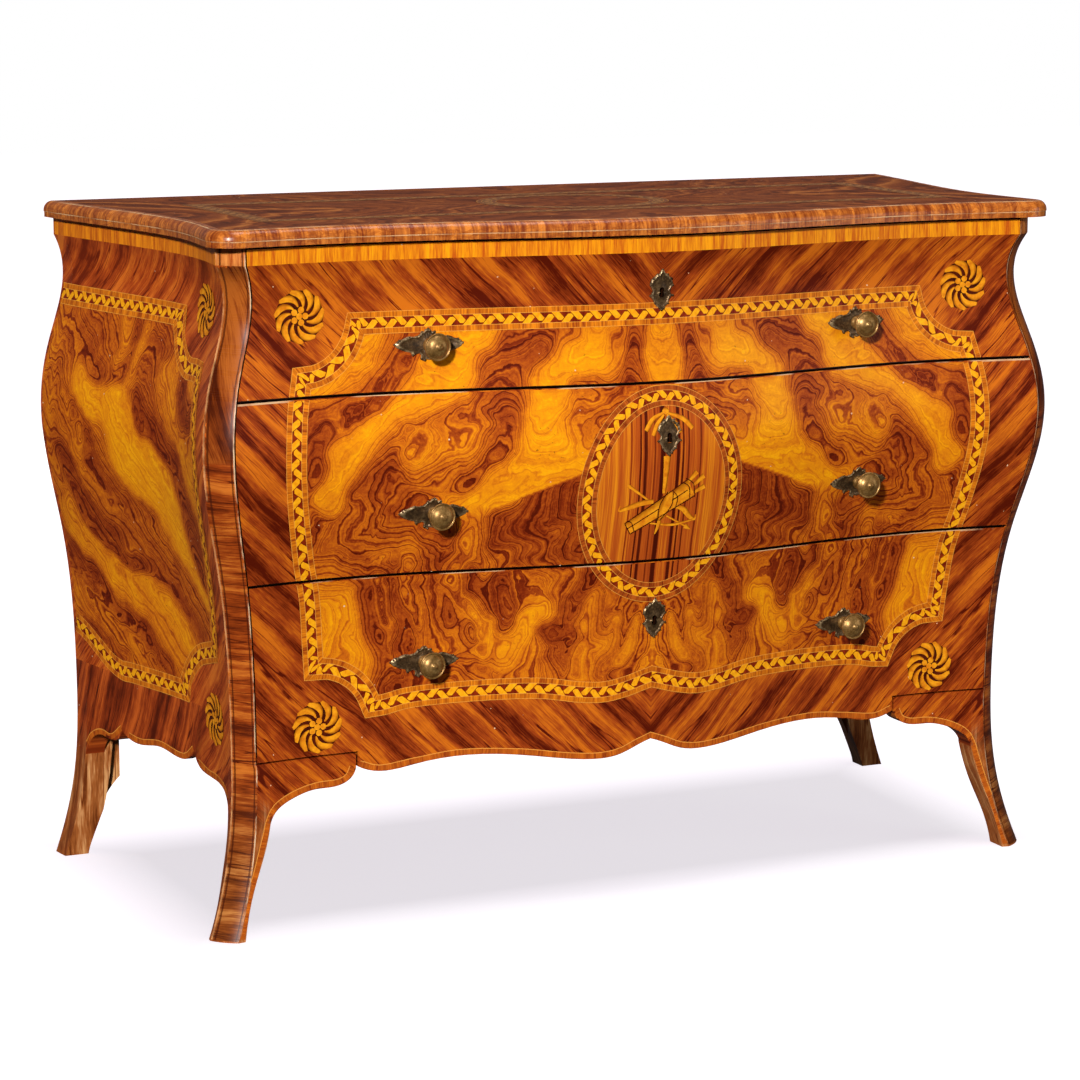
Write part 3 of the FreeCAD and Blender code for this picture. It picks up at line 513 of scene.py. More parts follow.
# strokes of the figure on one leaf: shade from 0 for the darkest heartwood to 1 for gold, width, and line
UPPER_LEAF = [
    (0.90, 0.012, [(0.008, 0.760), (0.010, 0.690)]),
    (0.28, 0.013, [(0.034, 0.760), (0.044, 0.690)]),
    (0.62, 0.010, [(0.064, 0.750), (0.070, 0.700)]),
    (1.00, 0.020, [(0.088, 0.760), (0.094, 0.730), (0.112, 0.724)]),
    (1.00, 0.022, [(0.092, 0.705), (0.130, 0.712), (0.155, 0.695)]),
    (0.12, 0.009, [(0.093, 0.688), (0.122, 0.690)]),
    (1.00, 0.024, [(0.160, 0.680), (0.162, 0.640), (0.152, 0.610), (0.175, 0.590)]),
    (1.00, 0.030, [(0.130, 0.585), (0.185, 0.575), (0.215, 0.562)]),
    (0.98, 0.018, [(0.232, 0.548), (0.250, 0.532)]),
    (0.62, 0.018, [(0.104, 0.668), (0.122, 0.640), (0.118, 0.612)]),
    (0.42, 0.014, [(0.074, 0.680), (0.090, 0.648)]),
    (0.34, 0.022, [(0.132, 0.752), (0.165, 0.745), (0.185, 0.728), (0.205, 0.705)]),
    (0.24, 0.016, [(0.150, 0.735), (0.172, 0.728)]),
    (0.30, 0.020, [(0.205, 0.700), (0.205, 0.665), (0.214, 0.640), (0.220, 0.622)]),
    (0.38, 0.012, [(0.228, 0.718), (0.236, 0.690), (0.232, 0.660)]),
    (0.30, 0.012, [(0.218, 0.612), (0.236, 0.590), (0.262, 0.572)]),
    (0.52, 0.014, [(0.245, 0.652), (0.280, 0.648), (0.320, 0.648), (0.336, 0.640)]),
    (0.66, 0.012, [(0.240, 0.632), (0.285, 0.630), (0.325, 0.626)]),
    (0.74, 0.014, [(0.255, 0.612), (0.290, 0.606), (0.325, 0.602)]),
    (0.58, 0.014, [(0.255, 0.588), (0.290, 0.576), (0.320, 0.572)]),
    (0.24, 0.010, [(0.338, 0.640), (0.358, 0.622), (0.385, 0.596), (0.412, 0.570)]),
    (0.32, 0.016, [(0.380, 0.580), (0.355, 0.572), (0.340, 0.555)]),
    (0.96, 0.016, [(0.243, 0.748), (0.250, 0.720), (0.262, 0.700)]),
    (0.92, 0.018, [(0.270, 0.700), (0.300, 0.688), (0.335, 0.668)]),
    (0.88, 0.014, [(0.290, 0.740), (0.300, 0.715)]),
    (0.94, 0.016, [(0.350, 0.655), (0.385, 0.636), (0.410, 0.616), (0.428, 0.600)]),
    (0.84, 0.012, [(0.352, 0.634), (0.384, 0.612), (0.415, 0.588)]),
    (0.92, 0.012, [(0.424, 0.585), (0.438, 0.560)]),
    (0.30, 0.016, [(0.325, 0.750), (0.345, 0.722), (0.378, 0.694), (0.420, 0.672), (0.450, 0.648)]),
    (0.44, 0.010, [(0.345, 0.700), (0.380, 0.672), (0.425, 0.645)]),
    (0.96, 0.018, [(0.368, 0.752), (0.385, 0.722), (0.412, 0.702), (0.446, 0.694)]),
    (0.58, 0.012, [(0.350, 0.752), (0.362, 0.728)]),
    (0.22, 0.014, [(0.456, 0.668), (0.466, 0.630), (0.462, 0.590)]),
]
LOWER_LEAF = [
    (0.72, 0.016, [(0.440, 0.560), (0.446, 0.520), (0.444, 0.470), (0.430, 0.440)]),
    (0.60, 0.012, [(0.465, 0.540), (0.462, 0.480)]),
    (0.24, 0.014, [(0.404, 0.552), (0.398, 0.520), (0.412, 0.490), (0.400, 0.462)]),
    (0.56, 0.010, [(0.382, 0.550), (0.372, 0.520), (0.350, 0.500), (0.362, 0.478)]),
    (0.30, 0.013, [(0.352, 0.540), (0.342, 0.515), (0.375, 0.495), (0.376, 0.470), (0.352, 0.460)]),
    (0.62, 0.009, [(0.328, 0.545), (0.334, 0.510), (0.326, 0.470)]),
    (0.26, 0.014, [(0.305, 0.510), (0.300, 0.470)]),
    (0.22, 0.014, [(0.284, 0.500), (0.278, 0.470)]),
    (0.66, 0.010, [(0.262, 0.500), (0.256, 0.475), (0.268, 0.460)]),
    (0.64, 0.010, [(0.246, 0.528), (0.226, 0.530), (0.205, 0.540)]),
    (0.62, 0.010, [(0.238, 0.505), (0.244, 0.480), (0.232, 0.462)]),
    (0.20, 0.016, [(0.222, 0.512), (0.196, 0.522), (0.170, 0.535)]),
    (0.16, 0.018, [(0.212, 0.490), (0.180, 0.496), (0.150, 0.515), (0.122, 0.545)]),
    (0.40, 0.013, [(0.205, 0.470), (0.170, 0.475), (0.140, 0.495)]),
    (0.26, 0.016, [(0.175, 0.458), (0.140, 0.465), (0.118, 0.490)]),
    (0.88, 0.022, [(0.424, 0.445), (0.418, 0.400), (0.408, 0.362), (0.388, 0.342)]),
    (0.92, 0.014, [(0.442, 0.430), (0.438, 0.370)]),
    (0.20, 0.010, [(0.390, 0.447), (0.378, 0.410), (0.368, 0.365), (0.362, 0.330), (0.350, 0.305)]),
    (0.46, 0.008, [(0.366, 0.446), (0.358, 0.405), (0.346, 0.372)]),
    (0.22, 0.008, [(0.350, 0.446), (0.342, 0.408), (0.326, 0.375), (0.332, 0.340)]),
    (0.50, 0.012, [(0.326, 0.440), (0.318, 0.405), (0.296, 0.378), (0.286, 0.352)]),
    (0.36, 0.016, [(0.300, 0.432), (0.280, 0.400), (0.262, 0.372)]),
    (0.58, 0.009, [(0.270, 0.440), (0.256, 0.405), (0.262, 0.360)]),
    (0.24, 0.010, [(0.250, 0.445), (0.238, 0.420), (0.222, 0.400)]),
    (0.82, 0.009, [(0.242, 0.408), (0.226, 0.384), (0.216, 0.355), (0.228, 0.338)]),
    (0.20, 0.010, [(0.206, 0.440), (0.204, 0.405), (0.196, 0.378)]),
    (0.54, 0.014, [(0.185, 0.440), (0.175, 0.415)]),
    (0.66, 0.012, [(0.152, 0.440), (0.160, 0.420)]),
    (0.88, 0.012, [(0.146, 0.396), (0.165, 0.384), (0.186, 0.360), (0.194, 0.336)]),
    (0.70, 0.012, [(0.176, 0.330), (0.160, 0.345)]),
    (0.02, 0.011, [(0.144, 0.368), (0.140, 0.358)]),
    (0.30, 0.012, [(0.126, 0.395), (0.120, 0.360), (0.130, 0.325)]),
    (0.14, 0.010, [(0.092, 0.446), (0.104, 0.415), (0.112, 0.390)]),
    (0.50, 0.010, [(0.118, 0.440), (0.134, 0.415)]),
    (0.74, 0.014, [(0.090, 0.392), (0.080, 0.350), (0.095, 0.318)]),
    (0.46, 0.012, [(0.060, 0.395), (0.072, 0.360)]),
    (0.80, 0.010, [(0.050, 0.372), (0.062, 0.335), (0.085, 0.302)]),
    (0.30, 0.007, [(0.036, 0.385), (0.052, 0.345), (0.075, 0.305)]),
    (0.78, 0.009, [(0.022, 0.360), (0.036, 0.320)]),
    (0.34, 0.007, [(0.010, 0.380), (0.022, 0.330), (0.045, 0.298)]),
    (0.74, 0.008, [(0.002, 0.345), (0.008, 0.300)]),
    (0.34, 0.012, [(0.240, 0.320), (0.270, 0.325), (0.310, 0.318)]),
    (0.58, 0.012, [(0.255, 0.345), (0.240, 0.330)]),
    (0.60, 0.012, [(0.150, 0.312), (0.200, 0.308), (0.260, 0.306)]),
]
LEAF_JOINT = 0.614
LEAF_JOINT_FALL = 0.36
BURL_HEART = (0.15, 0.40)


def front_figure(spots):
    folded = np.abs(spots)
    moved = wandering(folded)
    below = LEAF_JOINT - LEAF_JOINT_FALL * folded[:, 0] - folded[:, 1]
    softness = np.interp(folded[:, 0], (0.225, 0.29), (0.001, 0.035))
    lower = np.clip(below / softness / 2 + 0.5, 0, 1)
    tone = (1 - lower) * figure_tone(moved, UPPER_LEAF) + lower * figure_tone(moved, LOWER_LEAF)
    from_heart = np.linalg.norm(moved - np.array(BURL_HEART), axis=1)
    return tone, (1 - lower) * from_heart + lower * moved[:, 0]


def burl_finish(name, flat_axes):
    finish, tree, shader = new_finish(name)
    coords = place_on_piece(tree)
    u = calc(tree, "ABSOLUTE", coords[0]) if flat_axes == "xz" else coords[1]
    z = coords[2]
    here = joined(tree, u, z)
    tone = add(tree, "Attribute", attribute_name="tone").outputs["Fac"]
    growth = add(tree, "Attribute", attribute_name="growth").outputs["Fac"]
    swirl = noise(tree, here, 20, 3, 0.5, 0.5)
    curl = noise(tree, here, 70, 4, 0.6, 0.9)
    mottle = noise(tree, here, 300, 3, 0.6)
    grown = calc(tree, "MULTIPLY_ADD", tone, 0.1, calc(tree, "MULTIPLY", growth, 0.6))
    grown = calc(tree, "MULTIPLY_ADD", swirl, 0.03, grown)
    grown = calc(tree, "MULTIPLY_ADD", curl, 0.002, grown)
    rings = lines(tree, grown, 190, 3, 0.7)
    # the growth lines are dark and thin, plain in the brown wood and faint in the gold
    line = calc(tree, "MULTIPLY", span(tree, rings, 0.5, 0.36), span(tree, tone, 0.55, 0.95, 0.26, 0.08))
    threads = lines(tree, grown, 520, 2, 0.6)
    layers = balance(tree, (swirl, 0.35), (curl, 0.45), (mottle, 0.3), (rings, 0.4), (threads, 0.28))
    shade = calc(tree, "MULTIPLY_ADD", tone, 0.7, calc(tree, "SUBTRACT", layers, 0.36))
    shade = calc(tree, "SUBTRACT", shade, line)
    colour = ramp(
        tree,
        shade,
        (0.0, (84, 20, 4)),
        (0.2, (124, 40, 10)),
        (0.38, (164, 70, 17)),
        (0.55, (198, 100, 17)),
        (0.72, (220, 127, 16)),
        (0.88, (234, 148, 12)),
        (1.0, (246, 166, 14)),
    )
    pips = noise(tree, here, 260, 2, 0.5)
    few = noise(tree, here, 21, 2, 0.5)
    pip = calc(tree, "MULTIPLY", span(tree, pips, 0.66, 0.72), span(tree, few, 0.5, 0.62))
    colour = blended(tree, calc(tree, "MULTIPLY", pip, 0.75), colour, tint(96, 34, 10))
    colour = chipped(tree, colour, u, z)
    if flat_axes == "xz":
        colour = keyhole_shade_painted(tree, colour, u, z)
    polish(tree, shader, colour, span(tree, shade, 0, 1, 0.42, 0.3), rings, 0.00012, shine=WAX_SHINE)
    return finish


front_stations = mitred_line(front_outline, BAND_WIDTH, STRIP_STEP, True)
field_edge = [tuple(point + left * BAND_WIDTH / 2) for point, left in front_stations]
front_burl = burl_finish("front_burl", "xz")
for drawer in DRAWERS:
    low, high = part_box(drawer + "_drawer_front")
    field = figured_sheet(
        drawer + "_burl_field",
        (FIELD_LOW[0], max(low[2], FIELD_LOW[1])),
        (FIELD_HIGH[0], min(high[2], FIELD_HIGH[1])),
        front_plane,
        front_flat,
        field_edge,
    )
    saw_to_drawer(field, drawer)
    mark_figure(field, front_flat, front_figure)
    glue_to_drawer(field, drawer, front_burl, VENEER_LIFT)


# Ribbon banding: a pale twisted ribbon of parallelograms let into dark wood, between two cross-grained
# strips with fine pale lines. It frames the burl field and is sawn through at each drawer.
RIBBON_REPEAT = 0.0249
RIBBON_SHARE = 0.46
RIBBON_RUN = 0.45
RIBBON_HALF = 0.2
RIBBON_GAP = 0.25
RIBBON_NOTCH = 0.2
RIBBON_SHIFT = 0.05
RIBBON_LINE = 0.012
RIBBON_GROUND = ((98, 22, 6), (140, 44, 12))
RIBBON_BARS = ((228, 138, 14), (250, 176, 24))
SEAM = 0.00001


def merge_doubles(piece, distance):
    bpy.context.view_layer.objects.active = piece
    bpy.ops.object.mode_set(mode="EDIT")
    bpy.ops.mesh.select_all(action="SELECT")
    bpy.ops.mesh.remove_doubles(threshold=distance)
    bpy.ops.object.mode_set(mode="OBJECT")


def inlay_strip(name, runs, widths, plane, closed=False, rows=4, step=STRIP_STEP, width=BAND_WIDTH):
    stations = mitred_line(runs, width, step, closed)
    travelled = [0.0]
    for (start, _), (end, _) in zip(stations, stations[1:]):
        travelled.append(travelled[-1] + (end - start).length)
    count = len(stations) - 1

    def place(u, v):
        number = round(u * count)
        point, left = stations[number]
        near, far = widths(number / count)
        spot = point + left * (near + (far - near) * v)
        return plane(spot.x, spot.y), (travelled[number], v)

    strip = new_grid(name, count, rows, place)
    if closed:
        merge_doubles(strip, SEAM)
    return strip


def band_widths(share):
    return 0, BAND_WIDTH


def ribbon_finish(name, ground_tones, bar_tones, strip_tones):
    finish, tree, shader = new_finish(name)
    along, across, _ = place_on_piece(tree, "UV")
    strips, tone = cross_grained(tree, along, calc(tree, "MULTIPLY", across, BAND_WIDTH), *strip_tones)
    from_middle = calc(tree, "ABSOLUTE", calc(tree, "SUBTRACT", across, 0.5))
    climb = span(tree, across, 0.5 - RIBBON_SHARE / 2, 0.5 + RIBBON_SHARE / 2)
    turn = calc(tree, "DIVIDE", along, RIBBON_REPEAT)
    lean = calc(tree, "MULTIPLY", climb, RIBBON_RUN)
    # each bar is cut off where the other passes over it: the rising one on top above, the falling one below
    falling = calc(tree, "FRACT", calc(tree, "ADD", calc(tree, "ADD", turn, lean), RIBBON_SHIFT))
    rising = calc(tree, "FRACT", calc(tree, "SUBTRACT", turn, lean))
    falling = calc(tree, "ABSOLUTE", calc(tree, "SUBTRACT", falling, 0.5))
    rising = calc(tree, "ABSOLUTE", calc(tree, "SUBTRACT", rising, 0.5))
    above = calc(tree, "GREATER_THAN", climb, 0.5)
    below = calc(tree, "LESS_THAN", climb, 0.5)
    hidden_falling = calc(tree, "MULTIPLY", above, calc(tree, "LESS_THAN", rising, RIBBON_GAP))
    hidden_rising = calc(tree, "MULTIPLY", below, calc(tree, "LESS_THAN", falling, RIBBON_GAP))
    falling_bar = calc(tree, "SUBTRACT", calc(tree, "LESS_THAN", falling, RIBBON_HALF), hidden_falling)
    rising_bar = calc(tree, "SUBTRACT", calc(tree, "LESS_THAN", rising, RIBBON_HALF), hidden_rising)
    falling_bar = calc(tree, "MULTIPLY", falling_bar, calc(tree, "LESS_THAN", climb, 1 - RIBBON_NOTCH))
    rising_bar = calc(tree, "MULTIPLY", rising_bar, calc(tree, "GREATER_THAN", climb, RIBBON_NOTCH))
    bars = calc(tree, "MAXIMUM", falling_bar, rising_bar, clamp=True)
    speck = noise(tree, stretched(tree, along, across, 220, 4), 1, 3)
    pale = ramp(tree, speck, (0.3, bar_tones[0]), (0.65, bar_tones[1]))
    ground = ramp(tree, tone, (0.35, ground_tones[0]), (0.6, ground_tones[1]))
    ribbon = blended(tree, bars, ground, pale)
    in_ribbon = calc(tree, "LESS_THAN", from_middle, RIBBON_SHARE / 2)
    colour = blended(tree, in_ribbon, strips, ribbon)
    inner_line = calc(tree, "COMPARE", from_middle, RIBBON_SHARE / 2 + RIBBON_LINE, RIBBON_LINE)
    outer_line = calc(tree, "GREATER_THAN", from_middle, 0.5 - 2 * RIBBON_LINE)
    line = calc(tree, "MULTIPLY", calc(tree, "MAXIMUM", inner_line, outer_line), 0.7)
    colour = blended(tree, line, colour, tint(240, 168, 70))
    polish(tree, shader, colour, span(tree, tone, 0.2, 0.8, 0.42, 0.32), tone, 0.0001, shine=WAX_SHINE)
    return finish


STRIP_TONES = ((146, 56, 15), (232, 134, 22))
ribbon_band = ribbon_finish("ribbon_band", RIBBON_GROUND, RIBBON_BARS, STRIP_TONES)
for drawer in DRAWERS:
    band = inlay_strip(drawer + "_ribbon_band", front_outline, band_widths, front_plane, closed=True)
    saw_to_drawer(band, drawer)
    glue_to_drawer(band, drawer, ribbon_band, VENEER_LIFT * 2)


# Medallion: an upright oval of striped walnut in a ring of the same ribbon, shared by two drawers.
# A trophy of quiver, bow, arrows and tied ribbon in pale wood hangs in its middle.
MEDALLION = Vector((-0.004, 0.5377))
MEDALLION_HALF = Vector((0.116, 0.1425))
RING_WIDTH = 0.0262
RING_STRIP_TONES = ((110, 36, 11), (190, 92, 26))
GROUND_CELLS = (36, 44)
GROUND_LAP = 0.9
STRIPE_LEAN = 0.008
KEYHOLE_HALF = (0.0045, 0.0095)
# dark stripes of the medallion's wood: distance right of the keyhole, half width, strength
STRIPES = [(-0.051, 0.0014, 0.2), (-0.038, 0.0016, 0.4), (-0.031, 0.0030, 0.36), (-0.019, 0.0014, 0.2)]
STRIPES += [(-0.008, 0.0040, 0.34), (0.014, 0.0032, 0.38), (0.021, 0.0018, 0.36), (0.029, 0.0016, 0.24)]
STRIPES += [(0.046, 0.0014, 0.2)]


def oval(centre, half, steps=72):
    turns = [2 * math.pi * step / steps for step in range(steps + 1)]
    return [(centre.x + half.x * math.cos(a), centre.y + half.y * math.sin(a)) for a in turns]


def ring_widths(share):
    return 0, RING_WIDTH


def striped_finish():
    finish, tree, shader = new_finish("medallion_stripes")
    x, y, z = place_on_piece(tree)
    lean = noise(tree, joined(tree, x, z), 6, 2)
    across = calc(tree, "MULTIPLY_ADD", lean, STRIPE_LEAN, x)
    bands = lines(tree, across, 70, 3, 0.6)
    hairs = noise(tree, stretched(tree, x, z, 700, 12), 1, 3)
    from_middle = calc(tree, "ABSOLUTE", calc(tree, "SUBTRACT", x, MEDALLION.x))
    fade = span(tree, from_middle, 0.01, 0.085, 0.46, 0.58)
    tone = balance(tree, (bands, 0.6), (hairs, 0.4), (fade, 1.0))
    for right, half, strength in STRIPES:
        gap = calc(tree, "ABSOLUTE", calc(tree, "SUBTRACT", across, right + STRIPE_LEAN / 2))
        tone = calc(tree, "SUBTRACT", tone, span(tree, gap, half, half * 0.4, 0.0, strength))
    colour = ramp(
        tree,
        tone,
        (0.14, (70, 16, 4)),
        (0.36, (138, 50, 15)),
        (0.5, (180, 80, 22)),
        (0.66, (226, 134, 24)),
    )
    polish(tree, shader, colour, span(tree, tone, 0.2, 0.8, 0.42, 0.32), tone, 0.0001, shine=WAX_SHINE)
    return finish


def cut_window(piece, low, high):
    for place in (low, high):
        for way in ((1, 0, 0), (0, 0, 1)):
            trim(piece, place, way, clear=False)
    centres = [face.center for face in piece.data.polygons]
    delete_faces(piece, [low[0] < c.x < high[0] and low[2] < c.z < high[2] for c in centres])


def medallion_place(u, v):
    s, t = 2 * u - 1, 2 * v - 1
    inner = MEDALLION_HALF - Vector((RING_WIDTH, RING_WIDTH)) * GROUND_LAP
    x = MEDALLION.x + inner.x * s * math.sqrt(1 - t * t / 2)
    z = MEDALLION.y + inner.y * t * math.sqrt(1 - s * s / 2)
    return front_plane(x, z), (u, v)


medallion_stripes = striped_finish()
ring_ribbon = ribbon_finish("ring_ribbon", RIBBON_GROUND, RIBBON_BARS, RING_STRIP_TONES)
for drawer in ("middle", "lower"):
    edge = [oval(MEDALLION, MEDALLION_HALF)]
    ring = inlay_strip(drawer + "_medallion_ring", edge, ring_widths, front_plane, closed=True)
    saw_to_drawer(ring, drawer)
    glue_to_drawer(ring, drawer, ring_ribbon, VENEER_LIFT * 3)
    ground = new_grid(drawer + "_medallion_ground", *GROUND_CELLS, medallion_place)
    saw_to_drawer(ground, drawer)
    if drawer == "middle":
        key_z = middle_of("middle_drawer_escutcheon")[1]
        key_low = (-KEYHOLE_HALF[0], 0, key_z - KEYHOLE_HALF[1])
        key_high = (KEYHOLE_HALF[0], 0, key_z + KEYHOLE_HALF[1] / 2)
        cut_window(ground, key_low, key_high)
    glue_to_drawer(ground, drawer, medallion_stripes, VENEER_LIFT * 2)


def boxwood_finish():
    finish, tree, shader = new_finish("pale_boxwood")
    share = place_on_piece(tree, "UV")[1]
    edge = calc(tree, "ABSOLUTE", calc(tree, "SUBTRACT", share, 0.5))
    grain = noise(tree, joined(tree, *place_on_piece(tree)), 120, 4)
    pale = ramp(tree, grain, (0.3, (208, 112, 16)), (0.66, (244, 160, 26)))
    scorch = ramp(tree, share, (0.62, (255, 255, 255)), (0.97, (120, 60, 30)))
    line = ramp(tree, edge, (0.44, (255, 255, 255)), (0.5, (120, 60, 30)))
    colour = blended(tree, 0.75, pale, scorch, "MULTIPLY")
    colour = blended(tree, 0.7, colour, line, "MULTIPLY")
    polish(tree, shader, colour, span(tree, grain, 0.2, 0.8, 0.45, 0.35), grain, 0.0001, shine=WAX_SHINE)
    return finish


def dark_wood_finish():
    finish, tree, shader = new_finish("scorched_ground")
    grain = noise(tree, joined(tree, *place_on_piece(tree)), 150, 4)
    colour = ramp(tree, grain, (0.3, (44, 10, 4)), (0.7, (92, 28, 9)))
    polish(tree, shader, colour, span(tree, grain, 0.2, 0.8, 0.45, 0.35), grain, 0.0001, shine=WAX_SHINE)
    return finish


pale_boxwood = boxwood_finish()
dark_ground = dark_wood_finish()


def gather(name, pieces):
    bpy.ops.object.select_all(action="DESELECT")
    for piece in pieces:
        piece.select_set(True)
    bpy.context.view_layer.objects.active = pieces[0]
    if len(pieces) > 1:
        bpy.ops.object.join()
    pieces[0].name = name
    return pieces[0]


def tapered(first, last, swell=0.0):
    def widths(share):
        half = (first + (last - first) * share) / 2 + swell * math.sin(math.pi * share)
        return -half, half

    return widths


# each shape of the trophy is a line in the medallion, with its width at either end and its swell
TROPHY = [
    ([(-0.054, 0.5545), (-0.024, 0.5330)], 0.0046, 0.0024, 0),
    ([(0.004, 0.5105), (0.034, 0.4938)], 0.0024, 0.0024, 0),
    ([(0.032, 0.4950), (0.041, 0.4895)], 0.0080, 0.0006, 0),
    (
        [(-0.062, 0.5275), (-0.063, 0.5215), (-0.053, 0.5240), (-0.033, 0.5296), (-0.017, 0.5312)],
        0.002,
        0.006,
        0.0016,
    ),
    (
        [(0.016, 0.5230), (0.027, 0.5180), (0.037, 0.5075), (0.045, 0.5030), (0.046, 0.5090)],
        0.006,
        0.002,
        0.0016,
    ),
    ([(-0.019, 0.5021), (0.013, 0.4980), (0.043, 0.5025)], 0.0020, 0.0020, 0.0008),
    ([(0.030, 0.5535), (0.042, 0.5665)], 0.0046, 0.0076, 0),
    ([(0.038, 0.5490), (0.053, 0.5605)], 0.0046, 0.0076, 0),
    ([(0.040, 0.5395), (0.055, 0.5465)], 0.0046, 0.0070, 0),
    ([(-0.0496, 0.4967), (0.0353, 0.5462)], 0.0170, 0.0250, 0.001),
    ([(-0.0075, 0.5060), (0.0010, 0.5250), (0.0060, 0.5420)], 0.0060, 0.0090, 0.0045),
    ([(-0.006, 0.5050), (-0.007, 0.4970), (-0.0105, 0.4870)], 0.0050, 0.0012, 0.0010),
    ([(-0.0025, 0.5900), (-0.0035, 0.5410)], 0.0100, 0.0046, 0),
    ([(-0.0065, 0.6455), (-0.0225, 0.6375), (-0.0320, 0.6235)], 0.0030, 0.0062, 0.0008),
    ([(-0.0065, 0.6430), (-0.0165, 0.6310), (-0.0225, 0.6170)], 0.0030, 0.0056, 0.0008),
    ([(-0.0015, 0.6450), (0.0200, 0.6365), (0.0335, 0.6235)], 0.0030, 0.0062, 0.0008),
    ([(-0.0025, 0.6430), (0.0100, 0.6310), (0.0160, 0.6190)], 0.0030, 0.0056, 0.0008),
    ([(-0.0090, 0.6475), (0.0005, 0.6475)], 0.0010, 0.0010, 0.0044),
]
TROPHY_LAYER = 3
TROPHY_LINE_LAYER = 5.5
TROPHY_LINE_WIDTH = 0.0012
trophy = []
for number, (points, first, last, swell) in enumerate(TROPHY):
    name = "trophy_%d" % number
    strip = inlay_strip(name, [points], tapered(first, last, swell), front_plane, rows=2, step=0.002)
    press_onto(strip, nodes["middle_drawer_front"], "y", True, VENEER_LIFT * (TROPHY_LAYER + 0.1 * number))
    trophy.append(strip)
# dark lines let into the trophy: the seam and edges of the quiver, its butt, the knot, a band and the rim
TROPHY_LINES = [
    [(-0.0496, 0.4967), (-0.0090, 0.5204)],
    [(0.0090, 0.5309), (0.0300, 0.5431)],
    [(-0.0540, 0.5040), (0.0287, 0.5573)],
    [(-0.0452, 0.4894), (0.0417, 0.5352)],
    [(-0.0541, 0.5042), (-0.0451, 0.4892)],
    [(-0.0520, 0.5060), (-0.0450, 0.5050), (-0.0400, 0.4920)],
    [(-0.0085, 0.5060), (-0.0075, 0.5260), (0.0020, 0.5425)],
    [(-0.0060, 0.5050), (0.0090, 0.5240), (0.0095, 0.5415)],
    [(0.0085, 0.5445), (0.0165, 0.5345), (0.0150, 0.5215)],
    [(0.0225, 0.5540), (0.0320, 0.5470), (0.0345, 0.5315)],
    [(0.0262, 0.5590), (0.0380, 0.5510), (0.0415, 0.5330)],
]
trophy_line = tapered(TROPHY_LINE_WIDTH, TROPHY_LINE_WIDTH)
trophy_lines = []
for number, points in enumerate(TROPHY_LINES):
    name = "trophy_line_%d" % number
    strip = inlay_strip(name, [points], trophy_line, front_plane, rows=1, step=0.004)
    press_onto(strip, nodes["middle_drawer_front"], "y", True, VENEER_LIFT * TROPHY_LINE_LAYER)
    trophy_lines.append(strip)
trophy = gather("middle_medallion_trophy", trophy)
trophy.data.materials.append(pale_boxwood)
trophy_lines = gather("middle_trophy_lines", trophy_lines)
trophy_lines.data.materials.append(dark_ground)
for inlay in (trophy, trophy_lines):
    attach(inlay, "middle_drawer")


# Rosettes: whirls of eleven pale petals, scorched along one edge in hot sand, round a cluster of six discs.
# Four sit in the corners of the front and two on each side of the case.
PETALS = 11
ROSETTE_RADIUS = 0.0345
PETAL_ROOT = 0.0118
PETAL_FULLEST = 0.7
PETAL_NARROWEST = 0.34
WHIRL = math.radians(44)
DISCS = 6
DISC_RING = 0.0081
DISC_RADIUS = 0.0041
GROUND_REACH = 0.93


def rosette(name, centre, stretch, plane, target, axis, forward):
    centre = Vector(centre)

    def at(radius, angle):
        return plane(centre.x + stretch * radius * math.cos(angle), centre.y + radius * math.sin(angle))

    def disc_place(middle_radius, middle_angle, radius):
        spot = Vector((middle_radius * math.cos(middle_angle), middle_radius * math.sin(middle_angle)))

        def place(u, v):
            offset = Vector((math.cos(2 * math.pi * u), math.sin(2 * math.pi * u))) * radius * (1 - v)
            whole = spot + offset
            return at(whole.length, math.atan2(whole.y, whole.x)), (u, 0.3)

        return place

    def petal_place(first_angle):
        def place(u, v):
            radius = PETAL_ROOT + (ROSETTE_RADIUS - PETAL_ROOT) * u
            if u < PETAL_FULLEST:
                fullness = PETAL_NARROWEST + (1 - PETAL_NARROWEST) * u / PETAL_FULLEST
            else:
                fullness = math.sqrt(max(0, 1 - ((u - PETAL_FULLEST) / (1 - PETAL_FULLEST)) ** 2))
            turn = first_angle + WHIRL * u ** 1.3 + (v - 0.5) * 2 * math.pi / PETALS * 0.95 * fullness
            return at(radius, turn), (u, 1 - v)

        return place

    ground = new_grid(name + "_ground", 40, 5, disc_place(0, 0, ROSETTE_RADIUS * GROUND_REACH))
    press_onto(ground, target, axis, forward, VENEER_LIFT)
    ground.data.materials.append(dark_ground)
    petals = []
    for number in range(PETALS):
        petals.append(new_grid("petal", 10, 4, petal_place(2 * math.pi * number / PETALS)))
    for number in range(DISCS):
        reach = DISC_RING if number else 0.0
        angle = 2 * math.pi * number / (DISCS - 1)
        petals.append(new_grid("disc", 14, 2, disc_place(reach, angle, DISC_RADIUS)))
    whirl = gather(name, petals)
    whirl.data.materials.append(pale_boxwood)
    press_onto(whirl, target, axis, forward, VENEER_LIFT * 2.5)
    whole = gather(name, [whirl, ground])
    merge_doubles(whole, 0.00005)
    return whole


for drawer, (x, z) in (("upper", UPPER_ROSETTE), ("lower", LOWER_ROSETTE)):
    for hand, side in (("left", -1), ("right", 1)):
        name = "%s_%s_rosette" % (drawer, hand)
        whirl = rosette(name, (side * x, z), 1.0, front_plane, nodes[drawer + "_drawer_front"], "y", True)
        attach(whirl, drawer + "_drawer")


